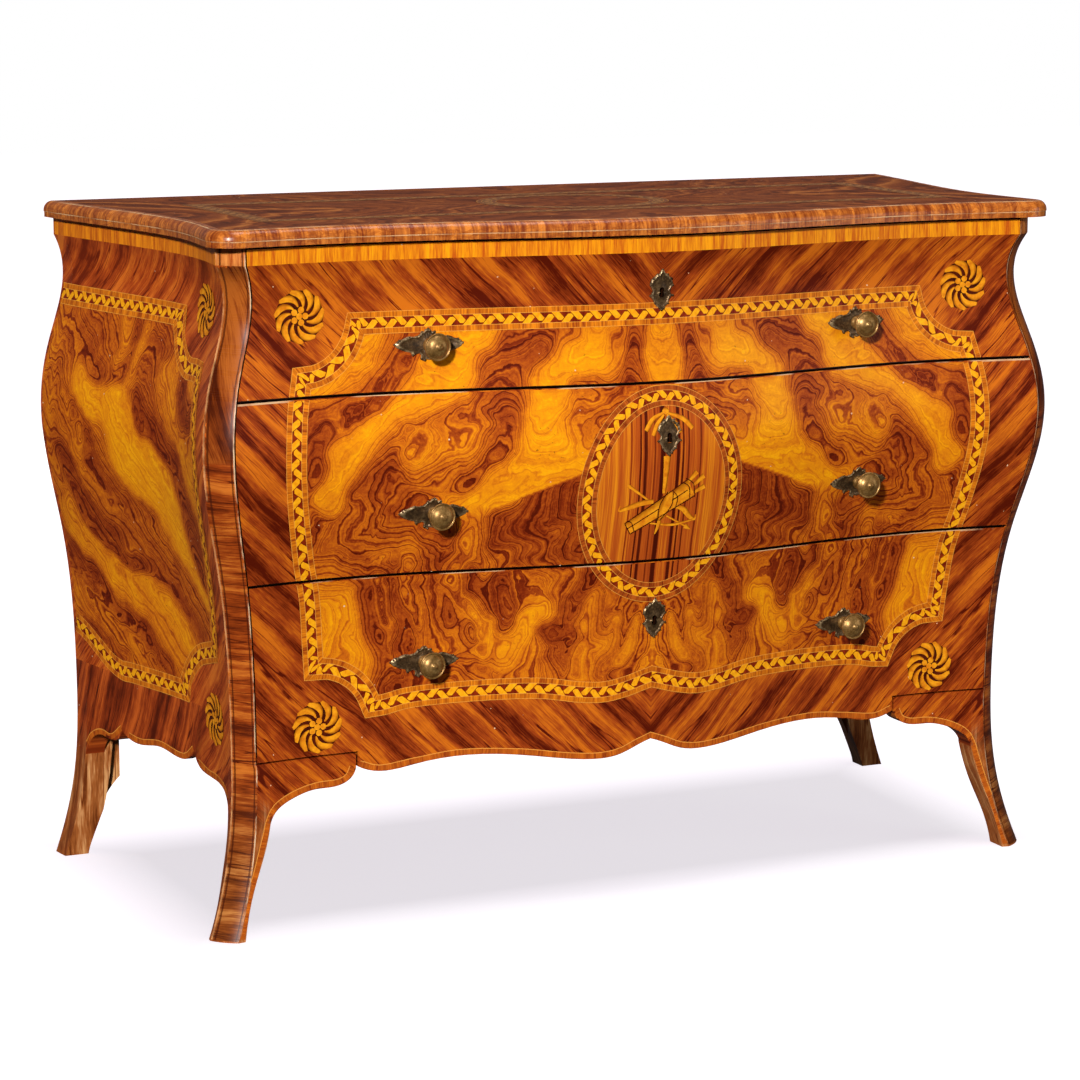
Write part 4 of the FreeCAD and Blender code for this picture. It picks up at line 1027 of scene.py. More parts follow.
# Case sides: swelling panels veneered like the front, with a burl leaf in a ribbon band between rosettes.
# The veneer runs over the panel and both corner posts, so the joints between them don't show.
SIDE_SLANT = math.radians(40)
SIDE_FOOT_SLANT = math.radians(66)
SIDE_FOOT = 0.268
SIDE_REAR = -0.2875
SIDE_FIELD_LOW, SIDE_FIELD_HIGH = (SIDE_REAR, 0.264), (0.189, 0.783)
# the side's burl is painted lighter than its figure, to make up for the lower light on the sides
SIDE_PAINTED_LIFT = 0.06
BESIDE = -0.75
SIDE_STRETCH = 1.12
SIDE_ROSETTES = {"upper": (0.126, 0.7837), "lower": (0.1107, 0.2617)}


def side_border(tree, y, z):
    forward = calc(tree, "MULTIPLY", y, -1.0)
    along, across = turned_axes(tree, forward, z, SIDE_SLANT)
    # the side's border is painted lighter than the front's, to make up for the lower light on the sides
    upper, tone = streaked(tree, across, along, (112, 34, 9), (177, 72, 23), (218, 112, 34))
    along, across = turned_axes(tree, forward, z, SIDE_FOOT_SLANT)
    lower = streaked(tree, across, along, (80, 23, 6), (144, 54, 18), (200, 92, 32))[0]
    foot = calc(tree, "MULTIPLY", calc(tree, "LESS_THAN", z, SIDE_FOOT), span(tree, forward, 0.09, 0.03))
    frieze = cross_grained(tree, y, z, (176, 78, 20), (238, 142, 24))[0]
    colour = blended(tree, foot, upper, lower)
    colour = blended(tree, calc(tree, "GREATER_THAN", z, FRIEZE_FOOT), colour, frieze)
    return chipped(tree, colour, y, z), tone


def side_finish():
    finish, tree, shader = new_finish("side_border")
    x, y, z = place_on_piece(tree)
    colour, tone = side_border(tree, y, z)
    polish(tree, shader, colour, span(tree, tone, 0.2, 0.8, 0.42, 0.3), tone, 0.0002, shine=WAX_SHINE)
    return finish


def side_plane(forward, z):
    return (BESIDE, -forward, z)


def side_flat(place):
    return (-place[1], place[2])


def joined_copy(name, *sources):
    copies = []
    for source in sources:
        twin = bpy.data.objects.new(source + "_copy", nodes[source].data.copy())
        bpy.context.collection.objects.link(twin)
        copies.append(twin)
    whole = gather(name, copies)
    merge_doubles(whole, SEAM)
    return whole


def mirrored_copy(piece, name):
    twin = bpy.data.objects.new(name, piece.data.copy())
    bpy.context.collection.objects.link(twin)
    for vertex in twin.data.vertices:
        vertex.co.x *= -1
    twin.data.flip_normals()
    return twin


def glue_to_side(piece, name, finish):
    piece.name = "left_" + name
    if not piece.data.materials:
        piece.data.materials.append(finish)
    for half in (piece, mirrored_copy(piece, "right_" + name)):
        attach(half, "carcass")


# the band's outer edge from the lower rear corner forwards, up and back: distance forward, height
side_outline = [
    [(-0.2875, 0.3075), (-0.2607, 0.300), (-0.227, 0.285), (-0.194, 0.2697), (-0.1607, 0.2617)]
    + [(-0.127, 0.263), (-0.0407, 0.265), (0.0227, 0.266)],
    [(0.0227, 0.266), (0.026, 0.2817), (0.039, 0.3017), (0.066, 0.3217), (0.099, 0.3317), (0.136, 0.340)],
    [(0.136, 0.340), (0.1427, 0.375), (0.156, 0.435), (0.1727, 0.5017), (0.187, 0.5617), (0.191, 0.608)]
    + [(0.1847, 0.655), (0.1627, 0.724)],
    [(0.1627, 0.724), (0.1327, 0.725), (0.099, 0.725), (0.069, 0.7417), (0.0527, 0.765), (0.0527, 0.783)],
    [(0.0527, 0.783), (-0.2875, 0.783)],
]
SIDE_LEAF = [
    (0.98, 0.030, [(-0.090, 0.635), (-0.075, 0.600)]),
    (1.00, 0.026, [(-0.060, 0.575), (-0.020, 0.560), (0.020, 0.550), (0.045, 0.530)]),
    (0.96, 0.022, [(0.000, 0.530), (0.040, 0.505), (0.062, 0.485)]),
    (0.98, 0.014, [(0.066, 0.475), (0.080, 0.445)]),
    (0.96, 0.008, [(0.092, 0.430), (0.120, 0.411)]),
    (0.85, 0.010, [(-0.062, 0.650), (-0.052, 0.690), (-0.046, 0.745)]),
    (0.92, 0.016, [(-0.198, 0.668), (-0.172, 0.652), (-0.150, 0.636)]),
    (0.66, 0.020, [(0.030, 0.690), (0.055, 0.700), (0.062, 0.665), (0.085, 0.640)]),
    (0.50, 0.012, [(0.040, 0.655), (0.030, 0.670)]),
    (0.08, 0.013, [(-0.044, 0.665), (-0.022, 0.638), (0.030, 0.618), (0.060, 0.602), (0.092, 0.585)]),
    (0.10, 0.016, [(0.098, 0.690), (0.110, 0.660), (0.138, 0.650)]),
    (0.42, 0.009, [(0.120, 0.672), (0.134, 0.664)]),
    (0.20, 0.018, [(0.088, 0.555), (0.112, 0.530), (0.124, 0.500), (0.104, 0.466)]),
    (0.24, 0.014, [(0.090, 0.500), (0.095, 0.470)]),
    (0.78, 0.016, [(0.120, 0.600), (0.145, 0.580), (0.152, 0.550)]),
    (0.58, 0.012, [(0.130, 0.625), (0.160, 0.615)]),
    (0.76, 0.012, [(0.130, 0.700), (0.152, 0.690)]),
    (0.36, 0.020, [(-0.230, 0.745), (-0.190, 0.725), (-0.130, 0.715)]),
    (0.30, 0.016, [(-0.150, 0.690), (-0.110, 0.685), (-0.075, 0.690)]),
    (0.70, 0.010, [(-0.095, 0.750), (-0.085, 0.715), (-0.098, 0.700)]),
    (0.26, 0.014, [(-0.060, 0.745), (-0.070, 0.715)]),
    (0.32, 0.020, [(-0.028, 0.745), (0.010, 0.735), (0.030, 0.742)]),
    (0.30, 0.016, [(-0.030, 0.700), (0.000, 0.690), (0.012, 0.660)]),
    (0.48, 0.016, [(-0.210, 0.690), (-0.225, 0.650), (-0.215, 0.600)]),
    (0.18, 0.012, [(-0.200, 0.625), (-0.168, 0.605), (-0.160, 0.565), (-0.138, 0.545)]),
    (0.64, 0.012, [(-0.185, 0.600), (-0.192, 0.575)]),
    (0.42, 0.014, [(-0.130, 0.600), (-0.125, 0.560), (-0.100, 0.540)]),
    (0.28, 0.012, [(-0.120, 0.535), (-0.095, 0.520), (-0.070, 0.512), (-0.020, 0.508)]),
    (0.12, 0.016, [(-0.252, 0.560), (-0.225, 0.535), (-0.205, 0.505), (-0.165, 0.470), (-0.140, 0.462)]),
    (0.50, 0.013, [(-0.190, 0.530), (-0.165, 0.510), (-0.145, 0.500)]),
    (0.42, 0.018, [(-0.120, 0.490), (-0.070, 0.485), (-0.020, 0.484), (0.010, 0.455), (0.060, 0.415)]),
    (0.34, 0.014, [(-0.110, 0.465), (-0.050, 0.462), (-0.010, 0.452), (0.030, 0.420), (0.110, 0.388)]),
    (
        0.16,
        0.009,
        [(-0.200, 0.475), (-0.145, 0.442), (-0.085, 0.430), (-0.040, 0.434)]
        + [(0.005, 0.408), (0.075, 0.370)],
    ),
    (0.36, 0.012, [(-0.040, 0.420), (0.020, 0.390), (0.085, 0.355)]),
    (0.80, 0.014, [(-0.265, 0.480), (-0.225, 0.446), (-0.170, 0.412), (-0.110, 0.392)]),
    (0.84, 0.016, [(-0.100, 0.385), (-0.045, 0.400), (0.000, 0.378), (0.035, 0.345)]),
    (0.70, 0.012, [(-0.150, 0.385), (-0.080, 0.366), (-0.020, 0.362)]),
    (
        0.14,
        0.010,
        [(-0.285, 0.435), (-0.225, 0.405), (-0.170, 0.372), (-0.115, 0.352)]
        + [(-0.060, 0.325), (-0.030, 0.300)],
    ),
    (0.24, 0.008, [(-0.285, 0.405), (-0.220, 0.380), (-0.150, 0.352), (-0.090, 0.325)]),
    (0.54, 0.018, [(-0.260, 0.370), (-0.200, 0.345), (-0.125, 0.312), (-0.080, 0.298)]),
    (0.64, 0.016, [(-0.050, 0.348), (-0.005, 0.335), (0.020, 0.312)]),
    (0.22, 0.007, [(-0.250, 0.325), (-0.185, 0.308), (-0.140, 0.298)]),
    (0.54, 0.014, [(-0.275, 0.755), (-0.270, 0.650), (-0.268, 0.520), (-0.280, 0.480)]),
    (0.40, 0.008, [(-0.250, 0.740), (-0.246, 0.640), (-0.255, 0.590)]),
]


def side_figure(spots):
    moved = wandering(spots)
    return figure_tone(moved, SIDE_LEAF) + SIDE_PAINTED_LIFT, 0.85 * moved[:, 0] + moved[:, 1]


side_veneer = side_finish()
dress(side_veneer, "left_side_panel", "right_side_panel")
left_wall = joined_copy("left_wall", "left_side_panel", "front_left_post", "rear_left_post")
side_stations = mitred_line(side_outline, BAND_WIDTH, STRIP_STEP, False)
side_edge = [tuple(point + left * BAND_WIDTH / 2) for point, left in side_stations]
side_sheet = figured_sheet(
    "side_sheet", SIDE_FIELD_LOW, SIDE_FIELD_HIGH, side_plane, side_flat, side_edge
)
mark_figure(side_sheet, side_flat, side_figure)
press_onto(side_sheet, left_wall, "x", True, VENEER_LIFT)
glue_to_side(side_sheet, "side_burl_field", burl_finish("side_burl", "yz"))
side_band = inlay_strip("side_band", side_outline, band_widths, side_plane)
press_onto(side_band, left_wall, "x", True, VENEER_LIFT * 2)
glue_to_side(side_band, "side_ribbon_band", ribbon_band)
for level, centre in SIDE_ROSETTES.items():
    whirl = rosette(level + "_whirl", centre, SIDE_STRETCH, side_plane, left_wall, "x", True)
    glue_to_side(whirl, level + "_side_rosette", pale_boxwood)


# Edge strips: narrow cross-grained bands with a pale line, glued along the scalloped lower edges of the
# bottom drawer, the knees and the case sides, and down the inner edges of the front legs.
EDGE_STRIP = (0.0006, 0.0086)
EDGE_LINE = 0.86


def edge_finish():
    finish, tree, shader = new_finish("edge_strip")
    along, share, _ = place_on_piece(tree, "UV")
    across = calc(tree, "MULTIPLY", share, EDGE_STRIP[1])
    wood, tone = cross_grained(tree, along, across, (138, 52, 16), (206, 106, 26))
    line = calc(tree, "GREATER_THAN", share, EDGE_LINE)
    colour = blended(tree, calc(tree, "MULTIPLY", line, 0.75), wood, tint(236, 158, 66))
    polish(tree, shader, colour, span(tree, tone, 0.2, 0.8, 0.42, 0.32), tone, 0.0001, shine=WAX_SHINE)
    return finish


def edge_widths(share):
    return EDGE_STRIP


def edging(name, runs, plane):
    return inlay_strip(name, runs, edge_widths, plane, rows=2, width=EDGE_STRIP[1])


edge_strip = edge_finish()
apron_half = [(0.0, 0.212), (0.019, 0.205), (0.044, 0.195), (0.076, 0.1913), (0.120, 0.1952)]
apron_half += [(0.177, 0.2035), (0.251, 0.2074), (0.309, 0.201), (0.3586, 0.1945), (0.388, 0.2025)]
other_half = [(-x, z) for x, z in reversed(apron_half)]
apron_strip = edging("lower_apron_strip", [other_half, apron_half], front_plane)
glue_to_drawer(apron_strip, "lower", edge_strip, VENEER_LIFT)
knee_line = [(0.3925, 0.2015), (0.400, 0.1885), (0.416, 0.1815), (0.447, 0.1800), (0.478, 0.1720)]
knee_line += [(0.500, 0.1595), (0.509, 0.1435)]
# down the leg the strip keeps to the inner edge of its front face
knee_line += [(0.5125, 0.131), (0.5165, 0.118), (0.522, 0.101), (0.529, 0.080), (0.538, 0.057)]
knee_line += [(0.546, 0.028), (0.5525, 0.003)]
leg_front = joined_copy("leg_front", "front_right_knee_bracket", "front_right_post")
right_strip = edging("front_right_leg_strip", [knee_line], front_plane)
press_onto(right_strip, leg_front, "y", True, VENEER_LIFT)
right_strip.data.materials.append(edge_strip)
for strip in (right_strip, mirrored_copy(right_strip, "front_left_leg_strip")):
    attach(strip, "carcass")
bpy.data.objects.remove(leg_front)
side_foot_runs = [
    [(-0.257, 0.153), (-0.246, 0.166), (-0.222, 0.175), (-0.192, 0.174), (-0.164, 0.1915)],
    [(-0.1464, 0.1845), (-0.113, 0.1825), (-0.065, 0.1895), (-0.015, 0.1856), (0.010, 0.1885)]
    + [(0.032, 0.203)],
    [(0.045, 0.188), (0.078, 0.1816), (0.113, 0.1815), (0.146, 0.177), (0.162, 0.166)],
]
foot_strips = gather("side_foot_strips", [edging("side_foot", [run], side_plane) for run in side_foot_runs])
press_onto(foot_strips, left_wall, "x", True, VENEER_LIFT)
glue_to_side(foot_strips, "side_foot_strips", edge_strip)
bpy.data.objects.remove(left_wall)


# Corner posts and legs: the side veneer laps on to the posts, which run down into curved legs whose walnut
# is rubbed pale. The front posts carry the border's veneer in front, and the rear posts are plainer.
LEG_TOP = 0.185
LEG_FADE = 0.06


def post_finish(name, in_front):
    finish, tree, shader = new_finish(name)
    x, y, z = place_on_piece(tree)
    out = calc(tree, "ABSOLUTE", x)
    facing = facing_way(tree)
    colour, tone = side_border(tree, y, z)
    inward = calc(tree, "MULTIPLY", calc(tree, "ADD", out, y), 0.7)
    leg = streaked(tree, inward, z, (104, 46, 14), (164, 92, 42), (222, 162, 104))[0]
    if in_front:
        along, across = turned_axes(tree, out, z, BORDER_SLANT)
        front = streaked(tree, across, along, *BORDER_TONES)[0]
        colour = blended(tree, span(tree, facing[1], -0.9, -0.95), colour, front)
    else:
        outer = span(tree, calc(tree, "ABSOLUTE", facing[0]), 0.5, 0.6)
        colour = blended(tree, outer, leg, colour)
    in_leg = span(tree, z, LEG_TOP, LEG_TOP - LEG_FADE)
    colour = blended(tree, calc(tree, "MULTIPLY", in_leg, 0.85), colour, leg)
    polish(tree, shader, colour, span(tree, tone, 0.2, 0.8, 0.4, 0.3), tone, 0.0002, shine=0.14)
    return finish


dress(post_finish("corner_veneer", True), "front_left_post", "front_right_post")
dress(post_finish("rear_walnut", False), "rear_left_post", "rear_right_post")


# Canted corners: a strip of veneer up each front post, laid slantwise above and across the grain below,
# with both long edges rubbed pale and painted with highlights, dark painted grooves beside them, and a
# lighter block under the lid with painted shade below it.
CANT_SLANT = math.radians(72)
CANT_CHANGE = 0.61
CANT_FACE = 0.036
CANT_LOW, CANT_HIGH = 0.002, 0.868
CANT_COUNT = 170
CANT_JOINT = 0.002
# painted shade of grooves beside both long edges, which the flat cant doesn't have: place across the strip
CANT_GROOVE_SHADES = (0.12, 0.87)
# the cant is found by looking back at the post from in front, a quarter of a millimetre at a time
CANT_FIRST = 0.51
CANT_PROBE = 0.00025
CANT_PROBES = 440
CANT_TURN = (0.35, 0.9)


def cant_finish():
    finish, tree, shader = new_finish("cant_veneer")
    z, share, _ = place_on_piece(tree, "UV")
    across_face = calc(tree, "MULTIPLY", share, CANT_FACE)
    along, across = turned_axes(tree, across_face, z, CANT_SLANT)
    upper = streaked(tree, across, along, (70, 22, 5), (126, 54, 15), (166, 86, 28))[0]
    lower, tone = streaked(tree, z, across_face, (82, 26, 6), (146, 60, 16), (196, 106, 36))
    high = span(tree, z, CANT_CHANGE - CANT_JOINT, CANT_CHANGE + CANT_JOINT)
    colour = blended(tree, high, lower, upper)
    block = cross_grained(tree, across_face, z, (160, 72, 26), (222, 138, 66))[0]
    colour = blended(tree, calc(tree, "GREATER_THAN", z, FRIEZE_FOOT), colour, block)
    leg = streaked(tree, z, across_face, (78, 32, 8), (134, 66, 22), (188, 120, 60))[0]
    colour = blended(tree, span(tree, z, LEG_TOP + 0.03, LEG_TOP - 0.09), colour, leg)
    # painted shadow: the cant darkens just under the block, as in its shade
    shadow_under_block = span(tree, z, FRIEZE_FOOT - 0.022, FRIEZE_FOOT, 0.0, 0.6)
    shadow_under_block = calc(tree, "MULTIPLY", shadow_under_block, calc(tree, "LESS_THAN", z, FRIEZE_FOOT))
    colour = blended(tree, shadow_under_block, colour, tint(70, 24, 8))
    patchy = noise(tree, stretched(tree, z, share, 14, 1), 1, 4, 0.65)
    # painted shade: dark lines where grooves would be, on a cant that is flat
    for side in CANT_GROOVE_SHADES:
        groove_shade = calc(tree, "COMPARE", share, side, 0.03)
        colour = blended(tree, calc(tree, "MULTIPLY", groove_shade, 0.75), colour, tint(66, 22, 8))
    # both long edges are partly rubbed pale and partly painted with highlights, as on rounded edges
    outer_wear_and_highlight = calc(tree, "MULTIPLY", span(tree, share, 0.93, 0.97), span(tree, patchy, 0.42, 0.56))
    inner_wear_and_highlight = calc(tree, "MULTIPLY", span(tree, share, 0.06, 0.03), span(tree, patchy, 0.45, 0.56))
    colour = blended(tree, calc(tree, "MULTIPLY", outer_wear_and_highlight, 0.85), colour, tint(214, 152, 98))
    colour = blended(tree, calc(tree, "MULTIPLY", inner_wear_and_highlight, 0.85), colour, tint(226, 190, 150))
    polish(tree, shader, colour, span(tree, tone, 0.2, 0.8, 0.34, 0.24), tone, 0.0002, shine=0.12)
    return finish


def cant_edges(z):
    spots = []
    for step in range(CANT_PROBES):
        x = CANT_FIRST + CANT_PROBE * step
        hit, place, way, face = nodes["front_right_post"].ray_cast(front_plane(x, z), (0, 1, 0))
        if hit and CANT_TURN[0] < way.x / math.hypot(way.x, way.y) < CANT_TURN[1]:
            spots.append(x)
    return min(spots), max(spots)


cant_heights = [CANT_HIGH + (CANT_LOW - CANT_HIGH) * step / CANT_COUNT for step in range(CANT_COUNT + 1)]
cant_stations = [cant_edges(z) for z in cant_heights]


def cant_place(u, v):
    number = round(u * CANT_COUNT)
    near, far = cant_stations[number]
    return front_plane(near + (far - near) * v, cant_heights[number]), (cant_heights[number], v)


right_cant = new_grid("right_cant_veneer", CANT_COUNT, 8, cant_place)
press_onto(right_cant, nodes["front_right_post"], "y", True, VENEER_LIFT)
right_cant.data.materials.append(cant_finish())
for strip in (right_cant, mirrored_copy(right_cant, "left_cant_veneer")):
    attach(strip, "carcass")


# Top: a board veneered in dark figured walnut in four matched quarters, with a frame and a ring of ribbon
# let in, under old wax. A cross-grained ovolo moulding runs round its front and ends.
TOP_RING = Vector((0.13, 0.117))
TOP_FRAME = (0.495, 0.150)
top_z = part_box("top_board")[1][2]
# pale lines on the moulding, the one at the fillet rubbed and the one at the rim partly rubbed and partly a
# painted highlight: height, half width
FILLET_LINE = (0.878, 0.0006)
RIM_HIGHLIGHT_LINE = (top_z - 0.0005, 0.0002)


def top_finish():
    finish, tree, shader = new_finish("top_walnut")
    x, y, z = place_on_piece(tree)
    out = calc(tree, "ABSOLUTE", x)
    deep = calc(tree, "ABSOLUTE", y)
    here = joined(tree, out, deep)
    swell = noise(tree, here, 5, 3, 0.5)
    eddy = noise(tree, here, 16, 4, 0.6, 0.8)
    flow = calc(tree, "SUBTRACT", out, calc(tree, "MULTIPLY", deep, 0.9))
    flow = calc(tree, "MULTIPLY_ADD", swell, 0.3, flow)
    flow = calc(tree, "MULTIPLY_ADD", eddy, 0.09, flow)
    rings = lines(tree, flow, 24, 5, 0.7)
    hairs = noise(tree, here, 240, 3, 0.6)
    tone = balance(tree, (rings, 1.0), (eddy, 0.5), (hairs, 0.25))
    colour = ramp(
        tree,
        tone,
        (0.25, (62, 24, 8)),
        (0.42, (106, 47, 18)),
        (0.56, (136, 67, 27)),
        (0.74, (178, 104, 46)),
    )
    worn = noise(tree, joined(tree, x, y), 9, 4, 0.6)
    colour = chipped(tree, colour, x, y)
    polish(tree, shader, colour, span(tree, worn, 0.3, 0.7, 0.52, 0.68), rings, 0.00012, shine=0.18)
    return finish


def moulding_finish():
    finish, tree, shader = new_finish("ovolo_moulding")
    x, y, z = place_on_piece(tree)
    facing = facing_way(tree)
    sideways, forward = [calc(tree, "ABSOLUTE", facing[axis]) for axis in (0, 1)]
    end_on = calc(tree, "GREATER_THAN", sideways, forward)
    along = add(tree, "Mix", {0: end_on, 2: x, 3: y}).outputs[0]
    grain, tone = cross_grained(tree, along, z, (134, 56, 18), (212, 124, 46))
    figure = noise(tree, stretched(tree, along, z, 40, 60), 1, 3, 0.6, 1.5)
    burr = ramp(tree, figure, (0.4, (255, 255, 255)), (0.5, (178, 128, 92)), (0.56, (255, 255, 255)))
    colour = blended(tree, 0.6, grain, burr, "MULTIPLY")
    # the pale lines are patchy; the rim line is partly a painted highlight
    rubbed_and_lit = span(tree, noise(tree, joined(tree, x, y), 16, 4, 0.6), 0.4, 0.56, 0.15, 0.85)
    for height, reach in (FILLET_LINE, RIM_HIGHLIGHT_LINE):
        line = calc(tree, "COMPARE", z, height, reach)
        colour = blended(tree, calc(tree, "MULTIPLY", line, rubbed_and_lit), colour, tint(236, 196, 146))
    polish(tree, shader, colour, span(tree, tone, 0.2, 0.8, 0.36, 0.24), tone, 0.0002, shine=0.35)
    return finish


def top_plane(x, y):
    return (x, y, top_z + VENEER_LIFT)


dress(top_finish(), "top_board")
dress(moulding_finish(), "top_moulding")
dim_ribbon = ribbon_finish(
    "top_ribbon",
    ((60, 22, 10), (86, 34, 16)),
    ((150, 96, 44), (180, 120, 62)),
    ((104, 52, 24), (140, 78, 38)),
)
frame_x, frame_y = TOP_FRAME
frame_runs = [
    [(0, -frame_y), (frame_x, -frame_y)],
    [(frame_x, -frame_y), (frame_x, frame_y)],
    [(frame_x, frame_y), (-frame_x, frame_y)],
    [(-frame_x, frame_y), (-frame_x, -frame_y)],
    [(-frame_x, -frame_y), (0, -frame_y)],
]
top_frame = inlay_strip("top_ribbon_band", frame_runs, band_widths, top_plane, closed=True)
top_ring = inlay_strip(
    "top_medallion_ring",
    [oval(Vector((0, 0)), TOP_RING)],
    ring_widths,
    top_plane,
    closed=True,
)
for inlay in (top_frame, top_ring):
    inlay.data.shade_smooth()
    inlay.data.materials.append(dim_ribbon)
    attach(inlay, "carcass")


# Knobs: turned bronze, each a spool neck on a round foot that carries a domed head with a rolled rim and a
# small boss. A threaded rod goes through the drawer front to a square nut.
# the profile runs from the foot to the middle of the head: radius, distance back from the front of the knob
KNOB_PROFILE = [
    (0.0082, 0.0364),
    (0.0090, 0.0352),
    (0.0090, 0.0336),
    (0.0074, 0.0324),
    (0.0059, 0.0306),
    (0.0051, 0.0275),
    (0.0048, 0.0238),
    (0.0053, 0.0200),
    (0.0072, 0.0166),
    (0.0112, 0.0138),
    (0.0150, 0.0116),
    (0.0169, 0.0101),
    (0.0174, 0.0088),
    (0.0171, 0.0075),
    (0.0163, 0.0069),
    (0.0156, 0.0074),
    (0.0153, 0.0084),
    (0.0148, 0.0081),
    (0.0130, 0.0057),
    (0.0101, 0.0037),
    (0.0064, 0.0023),
    (0.0036, 0.0018),
    (0.0031, 0.0008),
    (0.0021, 0.0002),
    (0.0000, 0.0000),
]
ROD_RADIUS = 0.0028
SPIN_STEPS = 36


def bronze_finish(name, dark, middle, light, worn_and_lit_rim=False):
    finish, tree, shader = new_finish(name)
    here = joined(tree, *place_on_piece(tree))
    patina = noise(tree, here, 90, 5, 0.65)
    pits = noise(tree, here, 420, 3, 0.6)
    tone = balance(tree, (patina, 0.6), (pits, 0.4))
    colour = ramp(tree, tone, (0.36, dark), (0.5, middle), (0.64, light))
    if worn_and_lit_rim:
        # the raised rim of the plates is partly rubbed bright and partly painted lighter as a highlight
        share = place_on_piece(tree, "UV")[1]
        rubbed_and_lit = calc(tree, "MULTIPLY", span(tree, share, 0.78, 0.9), span(tree, share, 0.995, 0.94))
        rubbed_and_lit = calc(tree, "MULTIPLY", rubbed_and_lit, span(tree, tone, 0.44, 0.58, 0.1, 0.8))
        colour = blended(tree, rubbed_and_lit, colour, tint(196, 168, 122))
    polish(tree, shader, colour, span(tree, tone, 0.3, 0.7, 0.46, 0.34), tone, 0.00006)
    shader.inputs["Metallic"].default_value = 0.6
    return finish


def turned_knob(name, node):
    low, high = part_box(node)
    axis = ((low[0] + high[0]) / 2, low[1], (low[2] + high[2]) / 2)
    depth = high[1] - low[1]
    profile = [(0, depth), (ROD_RADIUS, depth), (ROD_RADIUS, KNOB_PROFILE[0][1])] + KNOB_PROFILE
    bpy.ops.object.select_all(action="DESELECT")
    bpy.ops.mesh.primitive_circle_add(vertices=len(profile), radius=0.01)
    knob = bpy.context.object
    knob.name = name
    for vertex, (radius, back) in zip(knob.data.vertices, profile):
        vertex.co = (axis[0] + radius, axis[1] + back, axis[2])
    bpy.ops.object.mode_set(mode="EDIT")
    bpy.ops.mesh.select_all(action="SELECT")
    bpy.ops.mesh.spin(steps=SPIN_STEPS, angle=2 * math.pi, center=axis, axis=(0, 1, 0))
    bpy.ops.mesh.select_all(action="SELECT")
    bpy.ops.mesh.remove_doubles(threshold=0.00002)
    bpy.ops.mesh.delete_loose()
    bpy.ops.mesh.select_all(action="SELECT")
    bpy.ops.mesh.normals_make_consistent(inside=False)
    bpy.ops.object.mode_set(mode="OBJECT")
    knob.data.shade_smooth()
    return knob


knob_bronze = bronze_finish("knob_bronze", (104, 72, 28), (142, 104, 52), (178, 138, 80))
for drawer in DRAWERS:
    for hand in ("left", "right"):
        node = "%s_drawer_knob_%s" % (drawer, hand)
        knob = turned_knob("%s_%s_turned_knob" % (drawer, hand), node)
        knob.data.materials.append(knob_bronze)
        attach(knob, drawer + "_drawer")
        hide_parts(node)


# Backplates and escutcheons: thin cast bronze cartouches with a raised rim, a ribbed shell and beaded tips,
# pinned to the veneer behind each knob and round each keyhole.
# outlines of the right half from top to bottom and beads with their radius, in millimetres from the middle
PLATE_EDGE = [(0, 20.5), (3.5, 19.5), (5.2, 16.5), (8.5, 17.2), (10.5, 13.5), (13.5, 11.2), (19.5, 10.2)]
PLATE_EDGE += [(24, 11.3), (30, 9.6), (34, 7.4), (37.5, 7.6), (40.5, 5.5), (44.5, 1.6), (42, -2.6)]
PLATE_EDGE += [(36, -5.6), (30, -8), (24, -9), (22.5, -13), (17.5, -11), (13.5, -10), (10.8, -12.2)]
PLATE_EDGE += [(12, -17), (8, -20), (4.5, -17.6), (0, -19)]
PLATE_HOLE = [(0, 6), (4.24, 4.24), (6, 0), (4.24, -4.24), (0, -6)]
PLATE_BEADS = [(0, 19.5, 1.7), (8, 16, 1.5), (37, 6.4, 1.5), (40, 4, 1.4), (43.6, 1.2, 1.7)]
PLATE_BEADS += [(21.8, -12, 1.5), (11, -16.4, 1.7), (7, -18.6, 1.5), (24, 10.2, 1.3)]
KEY_EDGE = [(0, 27), (2.6, 24.5), (4.5, 20.5), (7.5, 21), (9.5, 17.5), (13, 15.5), (15.5, 11), (16.5, 6)]
KEY_EDGE += [(14, 2.5), (12, -1), (13.5, -5), (16.5, -7.5), (13, -10.5), (10.5, -14), (10, -17.5)]
KEY_EDGE += [(7, -20.5), (4.5, -23), (2.5, -26), (0, -27)]
KEY_HOLE = [(0, 3.2), (2.3, 2.3), (3.2, 0), (2.6, -2.2), (2.1, -3), (2.1, -9.6), (0, -9.6)]
KEY_BEADS = [(0, 25.8, 1.6), (7, 19.6, 1.4), (12.4, 14.6, 1.4), (15.6, -7.2, 1.5), (0, -25.4, 1.6)]
KEY_BEADS += [(3.4, -22.6, 1.3), (9, -17, 1.3), (15.4, 6, 1.2)]
KEY_MIDDLE = -3
PLATE_STEPS = 168
PLATE_ROWS = 10
PLATE_RELIEF = 0.0034
MM = 0.001


def polar(points, middle):
    whole = points + [(-x, z) for x, z in reversed(points[1:-1])]
    spots = sorted((math.atan2(z - middle, x), math.hypot(x, z - middle)) for x, z in whole)
    angles = [spot[0] for spot in spots]
    reaches = [spot[1] for spot in spots]
    return lambda angle: np.interp(angle, angles, reaches, period=2 * math.pi)


def plate_height(share, angle):
    if share > 0.96:
        return 0.0
    rim = math.exp(-(((share - 0.84) / 0.09) ** 2))
    boss = math.exp(-((share / 0.22) ** 2))
    shell = 0.22 * math.cos(26 * angle) * max(0, math.sin(angle)) * max(0, share - 0.3)
    return PLATE_RELIEF * (0.3 + 0.65 * rim + 0.4 * boss + shell)


